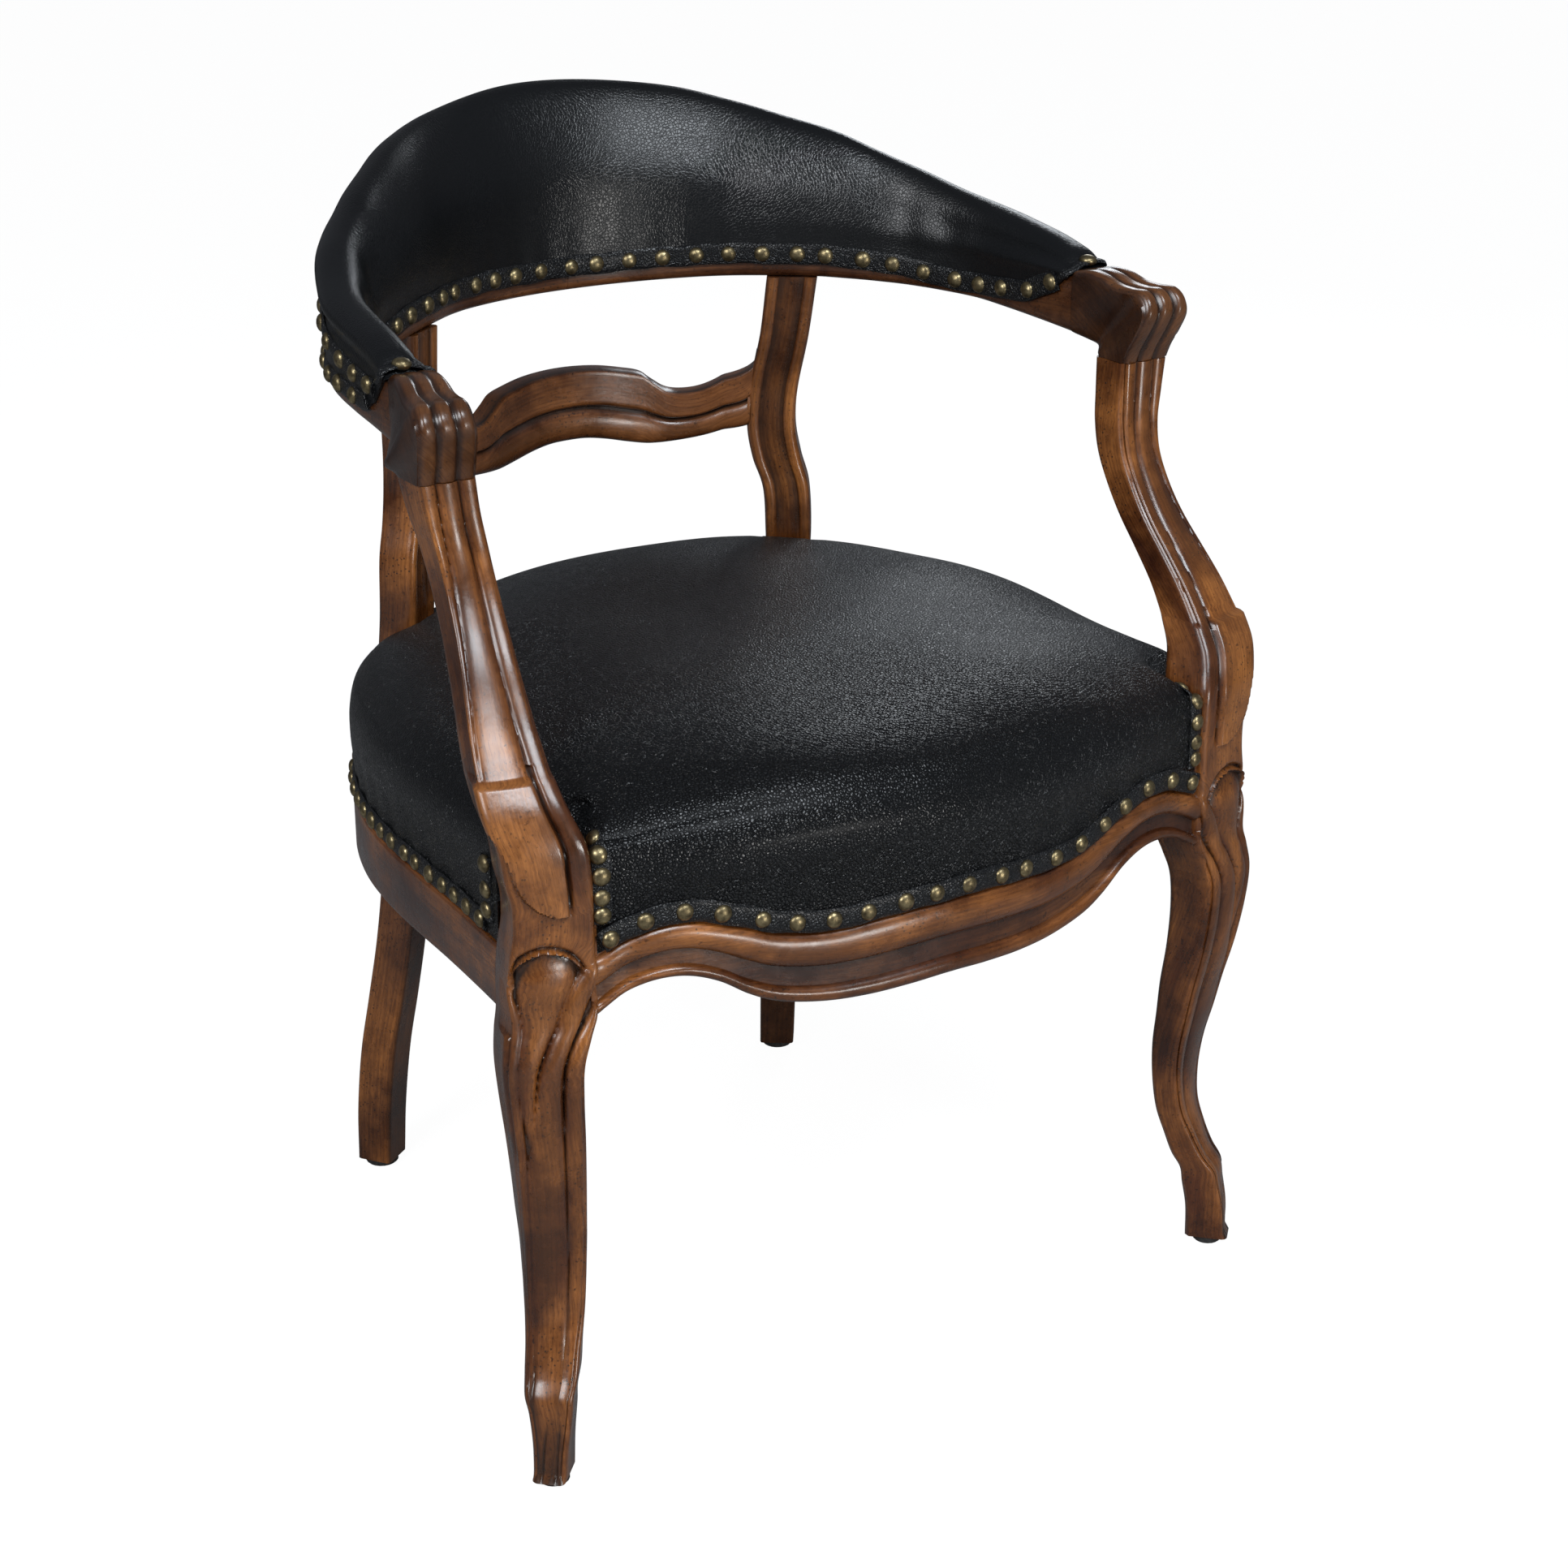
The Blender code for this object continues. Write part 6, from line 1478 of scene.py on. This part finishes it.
# At each arm end a short strip crosses the roll, with one nail on top
for side, index in (("right", 1), ("left", len(hoop) - 2)):
    section = back_sections[index][:SKIN_POINTS]
    ring = slanted(index, section)
    low = int(np.argmin(np.abs(section[:SKIN_POINTS // 2, 1] - inside_row_z[index])))
    top = int(np.argmax(ring[:, 2]))
    end = top + int(np.argmin(np.abs(section[top:, 1] - high_row_z[index] - 0.004)))
    path = ring[low:end:2]
    ups = np.tile(np.append(hoop_tangent[index], 0.0), (len(path), 1))
    outs = unit(np.cross(np.gradient(path, axis=0), ups))
    if outs[len(path) // 2, 2] < 0:
        outs = -outs
    spot = float(np.argmax(path[:, 2])) / (len(path) - 1)
    nailed_strip("arm_end_strip_" + side, path + outs * STRIP_LIFT, outs, ups, 0.0090, [spot],
                 "back_band_inside", 12, 0.0062)


# %% Strips round the seat
def seat_strip(name, path, width, spots, solid, seed):
    path = np.array(path)
    flat = unit(np.gradient(path[:, :2], axis=0))
    outs = np.column_stack([flat[:, 1], -flat[:, 0], np.zeros(len(flat))])
    outs *= -np.sign(np.einsum("ij,ij->i", outs[:, :2], SEAT_CENTRE - path[:, :2]))[:, None]
    return nailed_strip(name, path + outs * STRIP_LIFT, outs, upright(path, outs), width, spots, solid, seed)


SIDE_ROW = SIDE_RAIL_VISIBLE + OVER_RAIL + 0.0070
front_path = [(x, rail_front_y(x) + LEATHER_FACE, float(rail_edges(x)[1]) + OVER_RAIL + 0.0075)
              for x in np.linspace(-0.2345, 0.2345, 121)]
seat_strip("front_strip", front_path, 0.0150, even(20, 0.08, 6, 0.22), "seat_band_front", 6)
for side, sign in (("right", 1.0), ("left", -1.0)):
    side_path = [(sign * x, y, SIDE_ROW) for x, y in side_leather[5:81]]
    seat_strip("side_strip_" + side, side_path, 0.0140, even(17, 0.08, 7, 0.3), "seat_band_" + side, 7)
rear_path = [(x, rear_face_y(x) - LEATHER_FACE, SIDE_ROW) for x in np.linspace(-0.140, 0.140, 60)]
seat_strip("rear_strip", rear_path, 0.0140, even(11, 0.08, 8), "seat_band_rear", 8)

# %% [markdown]
# Beside each front post a strip climbs the leather from the rail, then bends back over the
# shoulder along the post. Its path is laid on the seat surface by looking up the nearest point.

# %% Strips beside the posts
POST_GUIDE = [(0.2325, -0.2745, 0.3830), (0.2325, -0.2760, 0.3880), (0.2320, -0.2780, 0.4070),
              (0.2320, -0.2770, 0.4230), (0.2325, -0.2730, 0.4310), (0.2330, -0.2680, 0.4370),
              (0.2340, -0.2600, 0.4430)]
POST_BACK_GUIDE = [(0.2775, -0.2070, 0.3740), (0.2775, -0.2070, 0.3960), (0.2770, -0.2080, 0.4180)]
surface_points = seat_grid.reshape(-1, 3)
surface_outs = seat_normals.reshape(-1, 3)


def relaxed(values, times):
    """Values smoothed along a path, with both ends kept."""
    for _ in range(times):
        values[1:-1] = (values[:-2] + values[1:-1] * 2 + values[2:]) / 4
    return values


def surface_strip(name, guide, sign, width, count, solid, seed):
    guide = smooth_rows(np.array(guide) * np.array([sign, 1.0, 1.0]), 40)
    nearest = [int(np.argmin(((surface_points - point) ** 2).sum(axis=1))) for point in guide]
    outs = unit(relaxed(surface_outs[nearest], 6))
    path = relaxed(surface_points[nearest], 8)
    ups = np.cross(outs, unit(np.gradient(path, axis=0)))
    return nailed_strip(name, path + outs * STRIP_LIFT, outs, ups, width, even(count, 0.08, seed, 0.35),
                        solid, seed)


for side, sign in (("right", 1.0), ("left", -1.0)):
    surface_strip("post_strip_" + side, POST_GUIDE, sign, 0.0130, 5, "post_band_inner_" + side, 9)
    surface_strip("post_back_strip_" + side, POST_BACK_GUIDE, sign, 0.0120, 3, "post_band_outer_" + side, 10)
print("nailed strips made")

# %% [markdown]
# Under the seat. Jute straps are woven across the frame, coil springs stand on their
# crossings, and hessian lies over the springs. Straps, springs, corner blocks and rubber
# glides keep the form of their solids and get a finish. The hessian is made as one thin
# sheet with a slight wave, resting all round its edge on the rails.

# %% Pieces under the seat
UNDER_FINISH = {"spring": steel, "corner_block": block_wood, "glide": glide_rubber, "webbing": jute}
for start, material in UNDER_FINISH.items():
    group = [o for o in bpy.data.objects if o.type == "MESH" and o.name.startswith(start + "_")]
    for piece in group:
        piece.data.materials.clear()
        piece.data.materials.append(material)
        if start == "spring":
            piece.data.shade_smooth()
    print(start, len(group), "pieces")

# %% Hessian
HESSIAN_HEIGHT = 0.3931
HESSIAN_THICK = 0.0010
HESSIAN_RINGS = 24
hessian_top = []
for share in np.arange(HESSIAN_RINGS + 1) / HESSIAN_RINGS:
    ring = seat_ring(max(share, 0.002), HESSIAN_HEIGHT, 0.0, 0.0052)
    wave = 0.00030 * np.sin(ring[:, 0] * 95.0) * np.sin(ring[:, 1] * 80.0) * (1 - share ** 4)
    ring[:, 2] = HESSIAN_HEIGHT + wave
    hessian_top.append(ring)
hessian_under = [ring - np.array([0.0, 0.0, HESSIAN_THICK]) for ring in hessian_top]
cloth = skin("hessian_sheet", np.array(hessian_under + hessian_top[::-1]), hessian)
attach(cloth, "root")
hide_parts("hessian_cloth")
